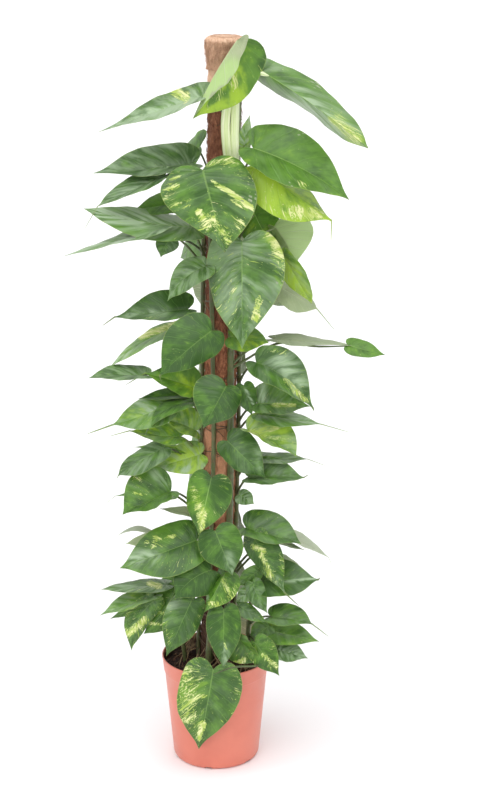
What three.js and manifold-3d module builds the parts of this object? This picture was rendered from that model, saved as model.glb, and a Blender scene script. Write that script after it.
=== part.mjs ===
// A golden pothos in a round plastic pot, trained up a coir pole 1.6 m tall.
// Millimetres, +Z up, origin at the middle of the pot's underside.
import * as THREE from "three";
import { mergeVertices } from "three/addons/utils/BufferGeometryUtils.js";
import Module from "manifold-3d";

const wasm = await Module();
wasm.setup();

// Pot
const POT_HEIGHT = 240;
const RIM_RADIUS = 120;
const WALL_TOP_RADIUS = 114;
const BASE_RADIUS = 95;
const BAND_HEIGHT = 36;
const WALL = 3;
const FOOT_EDGE = 7;
const LIP = 2;
const POT_SIDES = 32;
const NOTCHES = 6;
const NOTCH_WIDTH = 16;
const NOTCH_HEIGHT = 5;
const NOTCH_DEPTH = 10;
const FIRST_NOTCH = -100;

// Soil
const SOIL_TOP = 221;
const SOIL_MOUND = 11;
const SOIL_FOOT = 5;
const SOIL_BEVEL = 9;
const SOIL_RINGS = [85, 55];
const HEAPS = 5;
const HEAP_HEIGHT = 2;
const GAP = 0.3;
const WALL_GAP = 0.5;
const HOLE_TOP = 270;

// Coir pole
const LEAN = THREE.MathUtils.degToRad(1.05);
const POLE_X = -3;
const POLE_RADIUS = 34;
const POLE_SIDES = 18;
const STAKE_RADIUS = 13;
const STAKE_SIDES = 10;
const POLE_FOOT = 12;
const POLE_BEVEL = 4;
const SLEEVE_TOP = 1560;
const POLE_TOP = 1600;
const CAP_RADIUS = 41;
const CAP_FOOT = 1563;
const CAP_FLARE = 12;
const CAP_ROUND = [5, 14];

// Stems and petioles
const STEM_RADIUS = 5;
const STEM_SIDES = 6;
const STEM_STEPS = 12;
const SHOOT_STEPS = 5;
const STEM_FOOT = 170;
const STEM_HOLE = 1.2;
const HOLE_SIDES = 8;
const SINK = 2;
const PETIOLE_RADIUS = 2.1;
const PETIOLE_SIDES = 3;
const PETIOLE_STEPS = 3;
const PETIOLE_SHARE = 0.06;
const PETIOLE_BENDS = [{ share: 0.35, lift: 0.2 }, { share: 0.75, lift: 0.14 }];
const SEAM = 0.02;

// Blades: outline as [share of the length, share of the half width], ribs as shares of the length
const BLADE = 1;
const OUTLINE = [[-0.11, 0.4], [0, 0.84], [0.24, 1], [0.48, 0.9], [0.72, 0.51], [0.9, 0.12]];
const RIB = [0, 0.3, 0.62, 1];
const TAIL_OUTLINE = [1, 0.05];
const SMALL_OUTLINE = [[-0.03, 0.6], [0.3, 1], [0.72, 0.55]];
const SMALL_HALF = 2.45;
const ARCH = 0.05;
const WAVE = 0.06;
const WAVE_TURNS = 9;
const PHASE_STEP = 2.4;
const NARROWEST = 0.5;

// Leaf places are [across, up, depth] in centimetres from the pole's foot, read on the upright plane
// through it as an eye at EYE sees them; a depth below 0 is nearer, and the place slides along the sight.
const EYE = [7.25, -387, 200.5];
const CM = 10;

const POT_COLOUR = 0xc9705a;
const SOIL_COLOUR = 0x2e1d16;
const STAKE_COLOUR = 0xa9805a;
const COIR_COLOUR = 0x8a5138;
const CAP_COLOUR = 0xc08a68;
const LEAF_COLOUR = 0x3f7d32;

// The climbing stems: the angle round the pole at some heights, and each leaf's base, tip, half width
// and the turn of its two halves about the midrib (0 faces the eye, above 0 the edge comes nearer).
// The first half is the one a quarter turn anticlockwise from the midrib's direction. A half that is
// full above 0 has its widest part nearer the tip.
const VINES = [
  {
    name: "vine_tall",
    climb: [[23.5, -62], [60, -55], [100, -60], [135, -52], [150, -48]],
    radius: 7.5,
    leaves: [
      {
        base: [5.4, 159, -7.5], tip: [-3.8, 143.1, -9.5], half: 8.1, turn: [-12, 110],
        bow: -0.5, full: [0.3, 0], drop: 29, stalk: 8, via: [[4.7, 137, -5.4], [4.9, 150, -6]],
      },
      {
        base: [10.3, 152.7, -6], tip: [32.1, 137.1, -8], half: 6.6, turn: [-54, -72],
        bow: 0.6, full: [0.8, 0.9], tail: [31.3, 136, -8], drop: 24, stalk: 8,
        via: [[3.1, 137, -5.6], [3.3, 146, -6], [7, 153, -6.4]],
      },
      {
        base: [-1.5, 148, -6.6], tip: [-23.3, 140.4, -8], half: 5.9, turn: [78, -58],
        full: [-0.1, -0.4], drop: 8,
      },
      { base: [6.8, 137.3, -3.5], tip: [7.9, 144, -3.5], half: 1.4, turn: [20, -16], bow: 0.3, drop: 4 },
      {
        base: [8.5, 137.1, -5.6], tip: [28.5, 126.3, -8], half: 7.2, turn: [-21, 54],
        bow: 1, full: [0.2, 0.2], drop: 9,
      },
      {
        base: [9.5, 133.5, -7.4], tip: [24.9, 122, -9], half: 6.2, turn: [-62, 6],
        bow: -0.3, full: [0.2, 0.3], tail: [24.8, 116.7, -9], drop: 8,
      },
      {
        base: [-1.9, 132.6, -12], tip: [2.6, 115, -15], half: 9.6, turn: [-12, -14],
        full: [0.4, -0.5], drop: 10,
      },
      {
        base: [12.9, 120.7, -2], tip: [17.3, 112.3, -4], half: 6.6, turn: [0, -70],
        bow: 0.6, full: [0.3, 0], drop: 8,
      },
      {
        base: [8.7, 123.7, 1], tip: [14.2, 115.7, 0], half: 4.5, turn: [-16, 10],
        bow: -0.6, full: [0.1, 0], drop: 8,
      },
      {
        base: [6.2, 117.5, -9], tip: [6.2, 94.1, -13], half: 8.9, turn: [-8, -36],
        full: [-0.1, 0.1], drop: 9,
      },
      {
        base: [14.7, 114.8, -5], tip: [20.9, 104.1, -6], half: 3.4, turn: [52, -44],
        full: [0.7, 0.2], drop: 10,
      },
      {
        base: [14.2, 107.7, -3], tip: [22.1, 103, -5], half: 3.9, turn: [-58, 38],
        full: [0.6, 0.6], tail: [25.9, 98.3, -5], drop: 8,
      },
      {
        base: [13.2, 96.4, -4], tip: [30.5, 94.9, -7], half: 4.2, turn: [-71, 78],
        full: [0, -0.4], drop: 6,
      },
      {
        base: [28.8, 95, -7], tip: [36.7, 92.9, -8], half: 2.4, turn: [-34, 40],
        via: [[14, 95.5, -5], [22, 94.8, -6.5]], drop: 6,
      },
      {
        base: [3.8, 97, -5.6], tip: [11.9, 95.6, -7.5], half: 3.5, turn: [-40, 36],
        bow: 0.1, full: [0.4, 0.2], drop: 5,
      },
    ],
  },
  {
    name: "vine_front",
    climb: [[23.5, -108], [50, -112], [75, -108], [100, -118], [121, -130]],
    leaves: [
      {
        base: [-0.3, 98.2, -11.6], tip: [-11.4, 88.2, -14], half: 6.2, turn: [-44, -8],
        bow: -0.3, full: [0, 0.2], tail: [-10.9, 86.8, -14], drop: 8,
      },
      { base: [2.8, 86, -11], tip: [-2.2, 76.5, -14], half: 5.9, turn: [-40, -4], drop: 8 },
      {
        base: [-0.5, 65.2, -9.8], tip: [-3.4, 52, -12], half: 5.2, turn: [-12, -28],
        full: [0.1, 0.1], drop: 8.8,
      },
      {
        base: [0.3, 53, -11.2], tip: [4.1, 42.5, -14.6], half: 4.9, turn: [-10, -16],
        full: [0.2, 0], drop: 7,
      },
      {
        base: [-1.3, 112.3, -6], tip: [-9.5, 104.7, -8], half: 3.5, turn: [39, -23],
        bow: -1.1, full: [0.2, 0], drop: 5,
      },
    ],
  },
  {
    name: "vine_left",
    climb: [[23.5, 178], [50, 186], [75, 194], [100, 184], [132, 190]],
    leaves: [
      {
        base: [-4.2, 133.9, -2.6], tip: [-24.6, 131.9, -5], half: 5.6, turn: [76, -28],
        bow: 0.3, full: [-0.2, 0.1], drop: 8,
      },
      {
        base: [-9.8, 131.5, -7], tip: [-23.7, 125, -9], half: 3.5, turn: [74, -43],
        full: [0.2, 0.6], tail: [-26.7, 120, -9], drop: 9,
      },
      { base: [-6.8, 125.7, -3], tip: [-16.4, 124.2, -3], half: 3.4, turn: [54, -33], drop: 6 },
      {
        base: [-3.9, 120.5, -6], tip: [-26.7, 124.5, -8], half: 4.8, turn: [46, -58],
        bow: 0.6, full: [0.5, 0.6], drop: 7,
      },
      {
        base: [-10.5, 120.3, -8], tip: [-31.1, 114.4, -10], half: 4.6, turn: [80, -74],
        full: [-0.2, 0], drop: 10,
      },
      {
        base: [-8.7, 118.1, -5], tip: [-10.8, 114.1, -5.5], half: 2.4, turn: [-13, -21],
        bow: -0.3, full: [-0.2, 0.2], drop: 4,
      },
      {
        base: [-5.2, 103, -4.6], tip: [-20.7, 101.2, -7], half: 4.9, turn: [70, -22],
        full: [0.4, 0], tail: [-23.4, 99.3, -7], drop: 7,
      },
      {
        base: [-7.8, 99, -4], tip: [-22.3, 89.8, -7], half: 3.7, turn: [66, -63],
        bow: -1, full: [0.1, -0.1], drop: 8,
      },
      {
        base: [-14.2, 88.4, -8], tip: [-26.6, 87.8, -10], half: 3.3, turn: [73, -46],
        bow: -0.3, full: [0.2, 0.5], drop: 8,
      },
      {
        base: [-4, 85.8, -7], tip: [-14.5, 88.9, -8.5], half: 4.5, turn: [58, -11],
        bow: -0.1, full: [0.1, -0.1], tail: [-18.8, 86.2, -8.5], drop: 7,
      },
      { base: [-5.8, 84.2, -5], tip: [-16.1, 83.2, -6], half: 2.4, turn: [70, -38], drop: 7 },
      { base: [-4.3, 82.5, -8], tip: [-14.8, 74.8, -11], half: 2.7, turn: [56, -53], bow: -2, drop: 7 },
      {
        base: [-9.3, 82, -6.5], tip: [-21.8, 77.3, -9], half: 4.2, turn: [36, -30],
        bow: 0.3, full: [0.1, 0.2], tail: [-27.4, 75.2, -9], drop: 8,
      },
      { base: [-3.6, 76, -5], tip: [-11, 78.7, -6], half: 4.4, turn: [65, -10], bow: -0.3, drop: 6 },
      {
        base: [-7.1, 74.7, -6], tip: [-18, 76, -8], half: 3.1, turn: [57, -24],
        bow: 0.3, full: [0, 0.2], tail: [-22.3, 74.8, -8], drop: 7,
      },
      {
        base: [-10.7, 72.3, -7], tip: [-20.7, 65.8, -9], half: 3.1, turn: [31, -41],
        bow: -0.1, full: [0.5, 0.8], tail: [-20.9, 65.1, -9], drop: 8,
      },
      {
        base: [-6.2, 71.6, -3.2], tip: [-17.2, 72.3, -4], half: 1.5, turn: [50, -50],
        bow: -0.3, full: [0.1, 0], drop: 7,
      },
      {
        base: [-2.7, 70.7, -4], tip: [-13.6, 67.4, -5], half: 3.8, turn: [26, -20],
        bow: 0.1, full: [-0.3, -0.1], drop: 6,
      },
      {
        base: [-9.3, 62.2, -8], tip: [-19.9, 56.8, -11], half: 7, turn: [74, -2],
        full: [-0.2, 0.5], drop: 8,
      },
      {
        base: [-12, 62.4, -5], tip: [-21.4, 61.1, -6], half: 2, turn: [70, -63],
        full: [0, 0.2], tail: [-23.4, 59.4, -6], drop: 8,
      },
      {
        base: [-4, 56.9, -6], tip: [-11.8, 58.2, -8], half: 2.3, turn: [70, -56],
        full: [0.1, -0.2], drop: 6,
      },
      {
        base: [-3.8, 50.8, -8], tip: [-20.8, 44.2, -11], half: 5.9, turn: [18, -16],
        full: [0.2, 0.2], drop: 7,
      },
      {
        base: [-13.4, 52.7, -6], tip: [-21, 51.9, -7], half: 1.5, turn: [60, -70],
        bow: -1.2, full: [0, 0.2], drop: 8,
      },
      {
        base: [-13.8, 51.5, -3], tip: [-19.4, 50, -4], half: 1.9, turn: [50, -53],
        full: [0.2, -0.2], drop: 8,
      },
    ],
  },
  {
    name: "vine_right",
    climb: [[23.5, -8], [50, -14], [75, -6], [96, -12]],
    leaves: [
      {
        base: [9.2, 91.3, -9], tip: [21.4, 81, -12], half: 5.5, turn: [-6, 57],
        bow: 1.3, full: [0, 0.1], tail: [21.6, 80.5, -12], drop: 7,
      },
      {
        base: [9.5, 82.2, -6], tip: [20.9, 81.5, -7], half: 5, turn: [-15, 64],
        full: [-0.1, 0], drop: 6,
      },
      {
        base: [9.8, 79.7, -7], tip: [23.2, 77.5, -9], half: 3.5, turn: [-56, 59],
        full: [0.2, 0.2], tail: [29.2, 75.7, -9], drop: 6,
      },
      {
        base: [6.5, 86.2, -5.6], tip: [8.3, 79.5, -7], half: 2.4, turn: [-16, -20],
        full: [0.1, 0.2], drop: 4,
      },
      {
        base: [7.3, 76.2, -7.5], tip: [17.9, 70.2, -10], half: 5.3, turn: [-8, 83],
        bow: 0.3, full: [0.8, 0.2], drop: 7,
      },
      { base: [3, 73.7, -8.5], tip: [11.4, 65.1, -11], half: 4.7, turn: [-15, -42], drop: 7 },
      {
        base: [10.2, 70, -5], tip: [20.3, 69.6, -6.5], half: 2.9, turn: [-60, 67],
        bow: -0.3, full: [0.5, -0.2], tail: [24.2, 68.1, -6.5], drop: 6,
      },
      {
        base: [7.7, 65.3, -7], tip: [19.6, 65.3, -9], half: 4.5, turn: [-16, 70],
        bow: 0.3, full: [0.2, 0.7], tail: [20.6, 66, -9], drop: 6,
      },
      {
        base: [5.5, 61.4, -6], tip: [8.8, 59.2, -7], half: 2, turn: [-26, 26],
        bow: 0.1, full: [0.2, 0], drop: 4,
      },
      { base: [7, 53.8, -6], tip: [19.2, 50, -9], half: 5, turn: [-10, 66], full: [0.4, 0], drop: 7 },
      {
        base: [16.5, 52, -3], tip: [25.2, 46.8, -4], half: 2.6, turn: [-50, 76],
        tail: [26, 44.6, -4], drop: 10,
      },
      {
        base: [12.8, 50.8, -4], tip: [20, 48.5, -5], half: 1.6, turn: [-63, 74],
        full: [0.1, 0.2], drop: 8,
      },
      {
        base: [8.7, 51.4, -8.6], tip: [15.6, 38.3, -12], half: 4.1, turn: [-10, -46],
        full: [0, -0.1], tail: [18.8, 35.2, -12], drop: 8,
      },
      { base: [15.2, 47, -3], tip: [19.2, 44.5, -3], half: 1.4, turn: [-66, 66], drop: 8 },
    ],
  },
  {
    name: "shoot_left",
    path: [[-6.5, -1.5, 22.8], [-7, -2, 27], [-8.6, -3, 32], [-10.4, -4, 37]],
    leaves: [
      {
        base: [-10.6, 40.4, -6], tip: [-25, 39.2, -8], half: 3.1, turn: [61, -62],
        full: [0.2, 0.5], drop: 8,
      },
      {
        base: [-12.8, 38, -7], tip: [-25.4, 33, -9], half: 3.8, turn: [74, -42],
        full: [0, 0.2], drop: 6,
      },
      {
        base: [-15.8, 36.3, -4], tip: [-23.1, 32.2, -4], half: 2.2, turn: [54, -58],
        bow: 0.1, full: [0, 0.2], drop: 5,
      },
      {
        base: [-8.9, 38.4, -7], tip: [-15.8, 28.5, -8.5], half: 3.7, turn: [-13, -27],
        bow: 0.6, full: [0.5, 0], drop: 5,
      },
      {
        base: [-13.3, 36.5, -9], tip: [-18.5, 24.4, -10.5], half: 3.1, turn: [-26, -20],
        bow: -1.6, full: [0.2, 0.2], drop: 6,
      },
      {
        base: [-5, 36.5, -10], tip: [-10.8, 23.1, -13], half: 4.4, turn: [-30, -10],
        full: [0.1, 0.1], drop: 6,
      },
    ],
  },
  {
    name: "shoot_front",
    path: [[-1.5, -7.3, 22.8], [-1.3, -7.6, 28], [-0.6, -8, 36], [0, -8.2, 42]],
    leaves: [
      {
        base: [-0.7, 43.8, -10], tip: [-8.7, 36.8, -13], half: 5.4, turn: [-30, -5],
        bow: -1, full: [0.1, 0.2], drop: 4,
      },
      { base: [2.5, 43.2, -9.5], tip: [-2.2, 33.7, -13], half: 4.3, turn: [-4, -62], drop: 5 },
      { base: [2.1, 34.4, -11.5], tip: [2, 19.8, -14], half: 3.9, turn: [-12, -15], drop: 5 },
      {
        base: [5.3, 35.4, -9], tip: [11.8, 31.3, -11], half: 1.8, turn: [-30, 16],
        full: [0, 0.2], drop: 5,
      },
    ],
  },
  {
    name: "shoot_right",
    path: [[7, -4.5, 22.8], [7.2, -4.7, 27], [7.8, -5, 35], [8.6, -5, 43]],
    leaves: [
      {
        base: [10.3, 41.4, -6], tip: [23, 41.5, -8], half: 4.8, turn: [-12, 40],
        full: [0.1, 0.4], tail: [23.4, 42, -8], drop: 4,
      },
      { base: [9.7, 43.6, -7], tip: [5.2, 40, -8], half: 2, turn: [-20, 16], full: [0, 0.3], drop: 3 },
      {
        base: [8.5, 40.8, -9], tip: [11.8, 33.5, -10], half: 2.2, turn: [-10, -20],
        bow: -0.3, full: [0, 0.2], drop: 4,
      },
      {
        base: [8.7, 39.3, -8], tip: [4.8, 36.2, -8.5], half: 1.9, turn: [-13, 16],
        bow: -0.1, full: [0.2, 0.2], drop: 4,
      },
      {
        base: [12.5, 32.6, -7.5], tip: [21.7, 30.9, -10], half: 3.5, turn: [-20, 61],
        bow: 0.3, full: [0.6, 0], tail: [25.4, 27.9, -10], drop: 3,
      },
      {
        base: [12.6, 29.3, -6], tip: [23.4, 26.7, -8], half: 3.5, turn: [-27, 42],
        full: [0, -0.2], drop: 3,
      },
      {
        base: [13.7, 24.8, -8.5], tip: [20.9, 22.6, -10], half: 2.8, turn: [-16, 40],
        full: [0.2, -0.1], drop: 1,
      },
      { base: [9, 26.5, -11.5], tip: [14.5, 18.3, -12.5], half: 3.3, turn: [-10, -20], drop: 2 },
      {
        base: [12.1, 30.4, -7], tip: [8, 26.2, -8.5], half: 2.4, turn: [-20, -10],
        bow: -0.3, full: [0, 0.1], drop: 4,
      },
      {
        base: [5.2, 27.6, -9.6], tip: [10.1, 21.4, -10.8], half: 4.6, turn: [70, -16],
        bow: -0.1, full: [0, 0.1], drop: 3,
      },
      {
        base: [-0.3, 19.9, -13.5], tip: [-3.7, 0.1, -12], half: 7, turn: [-8, -10],
        bow: 0.1, full: [-0.1, 0.3], drop: 0, via: [[9.8, 21, -12], [4, 20.4, -13.5]],
      },
    ],
  },
];

// The two vines behind the pole, each leaf as its height and reach in centimetres, the angle round the
// pole, its length, how steeply it falls and how far its halves fold
const BACK_VINES = [
  {
    name: "vine_back_left",
    climb: [[23.5, 128], [60, 136], [100, 124], [138, 132]],
    leaves: [
      [37.5, 7.6, 152, 16.5, 36, 24],
      [56.2, 8.9, 106, 18.2, 59, 60],
      [70.3, 9.4, 111, 16.8, 49, 60],
      [90.1, 8.3, 103, 18.2, 46, 56],
      [107.8, 8.5, 100, 17.4, 44, 33],
      [117.6, 7.7, 121, 12.8, 34, 42],
      [136.3, 8.7, 126, 15.3, 29, 60],
    ],
  },
  {
    name: "vine_back_right",
    climb: [[23.5, 48], [60, 40], [100, 54], [126, 46]],
    leaves: [
      [31.4, 11.2, 79, 18.5, 54, 21],
      [44.5, 9, 75, 15.1, 58, 61],
      [59.5, 7.9, 81, 17.8, 52, 64],
      [78.9, 8.1, 82, 13.9, 45, 64],
      [94.9, 8.8, 78, 14.5, 53, 61],
      [107.4, 12, 42, 14.9, 33, 38],
      [123.5, 10, 64, 17.8, 57, 39],
    ],
  },
];
const BACK_HALF = 0.34;
const BACK_DROP = 7;

const group = new THREE.Group();
const plant = new THREE.Group();
plant.position.x = POLE_X;
group.add(plant);

// The largest body of a solid, without loose scraps
function whole(solid) {
  return solid.decompose().reduce((most, body) => (body.volume() > most.volume() ? body : most));
}

// A geometry as a solid that can be joined and cut
function solidOf(geometry) {
  geometry.deleteAttribute("normal");
  geometry.deleteAttribute("uv");
  const merged = mergeVertices(geometry, 1e-3);
  return new wasm.Manifold(new wasm.Mesh({
    numProp: 3,
    vertProperties: merged.attributes.position.array,
    triVerts: new Uint32Array(merged.index.array),
  }));
}

// A solid as a geometry again
function geometryOf(solid) {
  const mesh = solid.getMesh();
  const geometry = new THREE.BufferGeometry();
  geometry.setAttribute("position", new THREE.BufferAttribute(mesh.vertProperties, 3));
  geometry.setIndex(new THREE.BufferAttribute(mesh.triVerts, 1));
  geometry.computeVertexNormals();
  return geometry;
}

// Places a solid of revolution with its axis along +Z
function lathe(profile, sides) {
  const points = profile.map(([radius, height]) => new THREE.Vector2(radius, height));
  return new THREE.LatheGeometry(points, sides).rotateX(Math.PI / 2);
}

function cylinder(radius, foot, top, sides) {
  const geometry = new THREE.CylinderGeometry(radius, radius, top - foot, sides).rotateX(Math.PI / 2);
  return geometry.translate(0, 0, (foot + top) / 2);
}

function add(parent, name, geometry, colour, roughness) {
  const material = new THREE.MeshStandardMaterial({ color: colour, roughness, metalness: 0 });
  const mesh = new THREE.Mesh(geometry, material);
  mesh.name = name;
  parent.add(mesh);
}

// Outer radius of the pot's wall below the band
function wallRadius(z) {
  return BASE_RADIUS + ((WALL_TOP_RADIUS - BASE_RADIUS) * z) / (POT_HEIGHT - BAND_HEIGHT);
}

function makePot() {
  const bandFoot = POT_HEIGHT - BAND_HEIGHT;
  const floor = WALL + 1;
  const wallFoot = FOOT_EDGE + LIP;
  const profile = [
    [0, 0], [BASE_RADIUS - FOOT_EDGE, 0], [BASE_RADIUS - LIP, LIP], [wallRadius(FOOT_EDGE), FOOT_EDGE],
    [WALL_TOP_RADIUS, bandFoot], [WALL_TOP_RADIUS + LIP, bandFoot + LIP], [RIM_RADIUS, POT_HEIGHT - LIP],
    [RIM_RADIUS - LIP / 2, POT_HEIGHT], [RIM_RADIUS - WALL, POT_HEIGHT], [WALL_TOP_RADIUS - WALL, bandFoot],
    [wallRadius(wallFoot) - WALL, wallFoot], [BASE_RADIUS - FOOT_EDGE - WALL, floor], [0, floor],
  ];
  let pot = solidOf(lathe(profile, POT_SIDES));
  for (let i = 0; i < NOTCHES; i++) {
    const notch = new THREE.BoxGeometry(2 * NOTCH_DEPTH, NOTCH_WIDTH, 2 * NOTCH_HEIGHT);
    notch.translate(BASE_RADIUS, 0, 0);
    notch.rotateZ(THREE.MathUtils.degToRad(FIRST_NOTCH + (i * 360) / NOTCHES));
    pot = pot.subtract(solidOf(notch));
  }
  add(group, "pot", geometryOf(pot), POT_COLOUR, 0.55);
}

// Where a stem stands in the soil, in millimetres
function rootOf(vine) {
  if (vine.path) return new THREE.Vector2(vine.path[0][0] * CM, vine.path[0][1] * CM);
  const [height, angle] = vine.climb[0];
  const place = onPole(height, angle, vine.radius ?? STEM_RADIUS);
  return new THREE.Vector2(place.x, place.y);
}

function makeSoil(vines) {
  const under = SOIL_TOP - 4;
  const bevel = SOIL_FOOT + SOIL_BEVEL;
  const top = SOIL_TOP + SOIL_MOUND;
  const inside = (z) => wallRadius(z) - WALL - WALL_GAP;
  const profile = [
    [0, SOIL_FOOT], [BASE_RADIUS - bevel, SOIL_FOOT], [inside(bevel), bevel], [inside(under), under],
    [SOIL_RINGS[0], SOIL_TOP + 2], [SOIL_RINGS[1], top], [0, top],
  ];
  const geometry = lathe(profile, POT_SIDES);
  // Small heaps and dips in the top of the soil
  const place = geometry.attributes.position;
  for (let i = 0; i < place.count; i++) {
    const radius = Math.hypot(place.getX(i), place.getY(i));
    const angle = Math.atan2(place.getY(i), place.getX(i));
    if (place.getZ(i) > SOIL_TOP && radius > 1) {
      const heap = Math.sin(HEAPS * angle) * Math.cos((HEAPS - 2) * angle + radius);
      place.setZ(i, place.getZ(i) + HEAP_HEIGHT * heap);
    }
  }
  let soil = solidOf(geometry);
  const poleHole = cylinder(POLE_RADIUS + GAP, POLE_FOOT - SINK, HOLE_TOP, POLE_SIDES).rotateY(LEAN);
  soil = soil.subtract(solidOf(poleHole.translate(POLE_X, 0, 0)));
  for (const vine of vines) {
    const root = rootOf(vine);
    const radius = (vine.radius ?? STEM_RADIUS) + STEM_HOLE;
    const hole = cylinder(radius, STEM_FOOT - SINK, HOLE_TOP, HOLE_SIDES);
    soil = soil.subtract(solidOf(hole.translate(root.x + POLE_X, root.y, 0)));
  }
  add(group, "soil", geometryOf(soil), SOIL_COLOUR, 1);
}

function makePole() {
  const pole = new THREE.Group();
  pole.rotation.y = LEAN;
  const inner = STAKE_RADIUS + GAP;
  const sleeve = [
    [inner, POLE_FOOT], [POLE_RADIUS - POLE_BEVEL / 2, POLE_FOOT], [POLE_RADIUS, POLE_FOOT + POLE_BEVEL],
    [POLE_RADIUS, SLEEVE_TOP], [inner, SLEEVE_TOP], [inner, POLE_FOOT],
  ];
  const cap = [
    [0, CAP_FOOT], [POLE_RADIUS - 1, CAP_FOOT], [CAP_RADIUS, CAP_FOOT + CAP_FLARE],
    [CAP_RADIUS, POLE_TOP - CAP_FLARE], [CAP_RADIUS - CAP_ROUND[0], POLE_TOP - 3],
    [CAP_RADIUS - CAP_ROUND[1], POLE_TOP], [0, POLE_TOP - 2],
  ];
  add(pole, "pole_core", cylinder(STAKE_RADIUS, POLE_FOOT, SLEEVE_TOP, STAKE_SIDES), STAKE_COLOUR, 0.8);
  add(pole, "coir_sleeve", lathe(sleeve, POLE_SIDES), COIR_COLOUR, 1);
  add(pole, "coir_cap", lathe(cap, POLE_SIDES), CAP_COLOUR, 1);
  plant.add(pole);
}

// A reading as a place in millimetres
function seen([across, up, depth]) {
  const share = (depth - EYE[1]) / -EYE[1];
  const x = EYE[0] + share * (across - EYE[0]);
  const z = EYE[2] + share * (up - EYE[2]);
  return new THREE.Vector3(x, depth, z).multiplyScalar(CM);
}

// The middle of a stem that lies against the pole, at a height in centimetres and an angle
function onPole(height, angle, radius) {
  const z = height * CM;
  const away = POLE_RADIUS + radius + 1;
  const turn = THREE.MathUtils.degToRad(angle);
  return new THREE.Vector3(z * Math.tan(LEAN) + away * Math.cos(turn), away * Math.sin(turn), z);
}

function tube(curve, radius, sides, steps) {
  const section = new THREE.Shape();
  for (let i = 0; i < sides; i++) {
    const angle = (2 * Math.PI * i) / sides;
    section.lineTo(radius * Math.cos(angle), radius * Math.sin(angle));
  }
  const settings = { steps, extrudePath: curve, bevelEnabled: false };
  return solidOf(new THREE.ExtrudeGeometry(section, settings));
}

// A stem's curve, straight up out of the soil
function stemCurve(vine) {
  const radius = vine.radius ?? STEM_RADIUS;
  const root = rootOf(vine);
  const points = [new THREE.Vector3(root.x, root.y, STEM_FOOT)];
  if (vine.path) {
    points.push(...vine.path.map(([x, y, z]) => new THREE.Vector3(x, y, z).multiplyScalar(CM)));
  } else {
    for (const [height, angle] of vine.climb) points.push(onPole(height, angle, radius));
  }
  return new THREE.CatmullRomCurve3(points);
}

// The point of a stem at a height in millimetres, no higher than its top
function stemPoint(curve, height) {
  let low = 0;
  let high = 1;
  for (let i = 0; i < 20; i++) {
    const middle = (low + high) / 2;
    if (curve.getPoint(middle).z < height) low = middle;
    else high = middle;
  }
  return curve.getPoint(low);
}

// A leaf's midrib and the directions of its two halves
function leafFrame(leaf) {
  const base = leaf.base;
  const along = leaf.tip.clone().sub(base).normalize();
  const sight = new THREE.Vector3(...EYE).multiplyScalar(CM).sub(base).normalize();
  const side = sight.clone().cross(along).normalize();
  const out = along.clone().cross(side).normalize();
  const length = leaf.tip.distanceTo(base);
  const middle = base.clone().add(leaf.tip).multiplyScalar(0.5);
  middle.addScaledVector(side, 2 * CM * (leaf.bow ?? 0)).addScaledVector(out, 2 * ARCH * length);
  const halves = [0, 1].map((k) => {
    const turn = THREE.MathUtils.degToRad(leaf.turn[k]);
    const sign = k === 0 ? 1 : -1;
    const edge = side.clone().multiplyScalar(sign * Math.cos(turn)).addScaledVector(out, Math.sin(turn));
    const face = side.clone().multiplyScalar(-sign * Math.sin(turn)).addScaledVector(out, Math.cos(turn));
    return { edge, face };
  });
  return { rib: new THREE.QuadraticBezierCurve3(base, middle, leaf.tip), along, halves };
}

// A waved blade, split into triangles alike on both faces
function makeBlade(leaf) {
  const frame = leafFrame(leaf);
  const points = [];
  const faces = [];
  const place = (share) => {
    if (share >= 0) return frame.rib.getPoint(share);
    return leaf.base.clone().addScaledVector(frame.along, share * leaf.tip.distanceTo(leaf.base));
  };
  const middle = frame.halves[0].face.clone().add(frame.halves[1].face);
  const spread = Math.max(middle.length() / 2, NARROWEST);
  middle.normalize().divideScalar(spread);
  for (const share of RIB) points.push({ place: place(share), face: middle });
  if (leaf.tail && leaf.half >= SMALL_HALF * CM) points.push({ place: leaf.tail, face: middle });
  const tip = points.length - 1;
  const small = leaf.half < SMALL_HALF * CM;
  const full = leaf.tail ? [...OUTLINE, TAIL_OUTLINE] : OUTLINE;
  const outline = small ? SMALL_OUTLINE : full;
  const starts = [];
  for (let k = 0; k < 2; k++) {
    starts.push(points.length);
    for (const [usual, width] of outline) {
      const share = usual > 0 ? usual + leaf.full[k] * usual * (1 - usual) : usual;
      const wave = WAVE * leaf.half * width * Math.sin(leaf.phase + 2 * k + WAVE_TURNS * share);
      const spot = place(share).addScaledVector(frame.halves[k].edge, width * leaf.half);
      points.push({ place: spot.addScaledVector(frame.halves[k].face, wave), face: frame.halves[k].face });
    }
  }
  for (let k = 0; k < 2; k++) {
    const e = (i) => starts[k] + i;
    const half = small
      ? [[0, e(1), e(0)], [0, 1, e(1)], [1, e(2), e(1)], [1, 2, e(2)], [2, tip, e(2)]]
      : [
        [0, e(1), e(0)], [0, 1, e(1)], [1, e(2), e(1)], [1, e(3), e(2)], [1, 2, e(3)], [2, e(4), e(3)],
        [2, e(5), e(4)], [2, 3, e(5)],
      ];
    if (leaf.tail && !small) half.push([3, e(6), e(5)], [3, tip, e(6)]);
    for (const [a, b, c] of half) faces.push(k === 0 ? [a, b, c] : [a, c, b]);
  }
  return thicken(points, faces);
}

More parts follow.
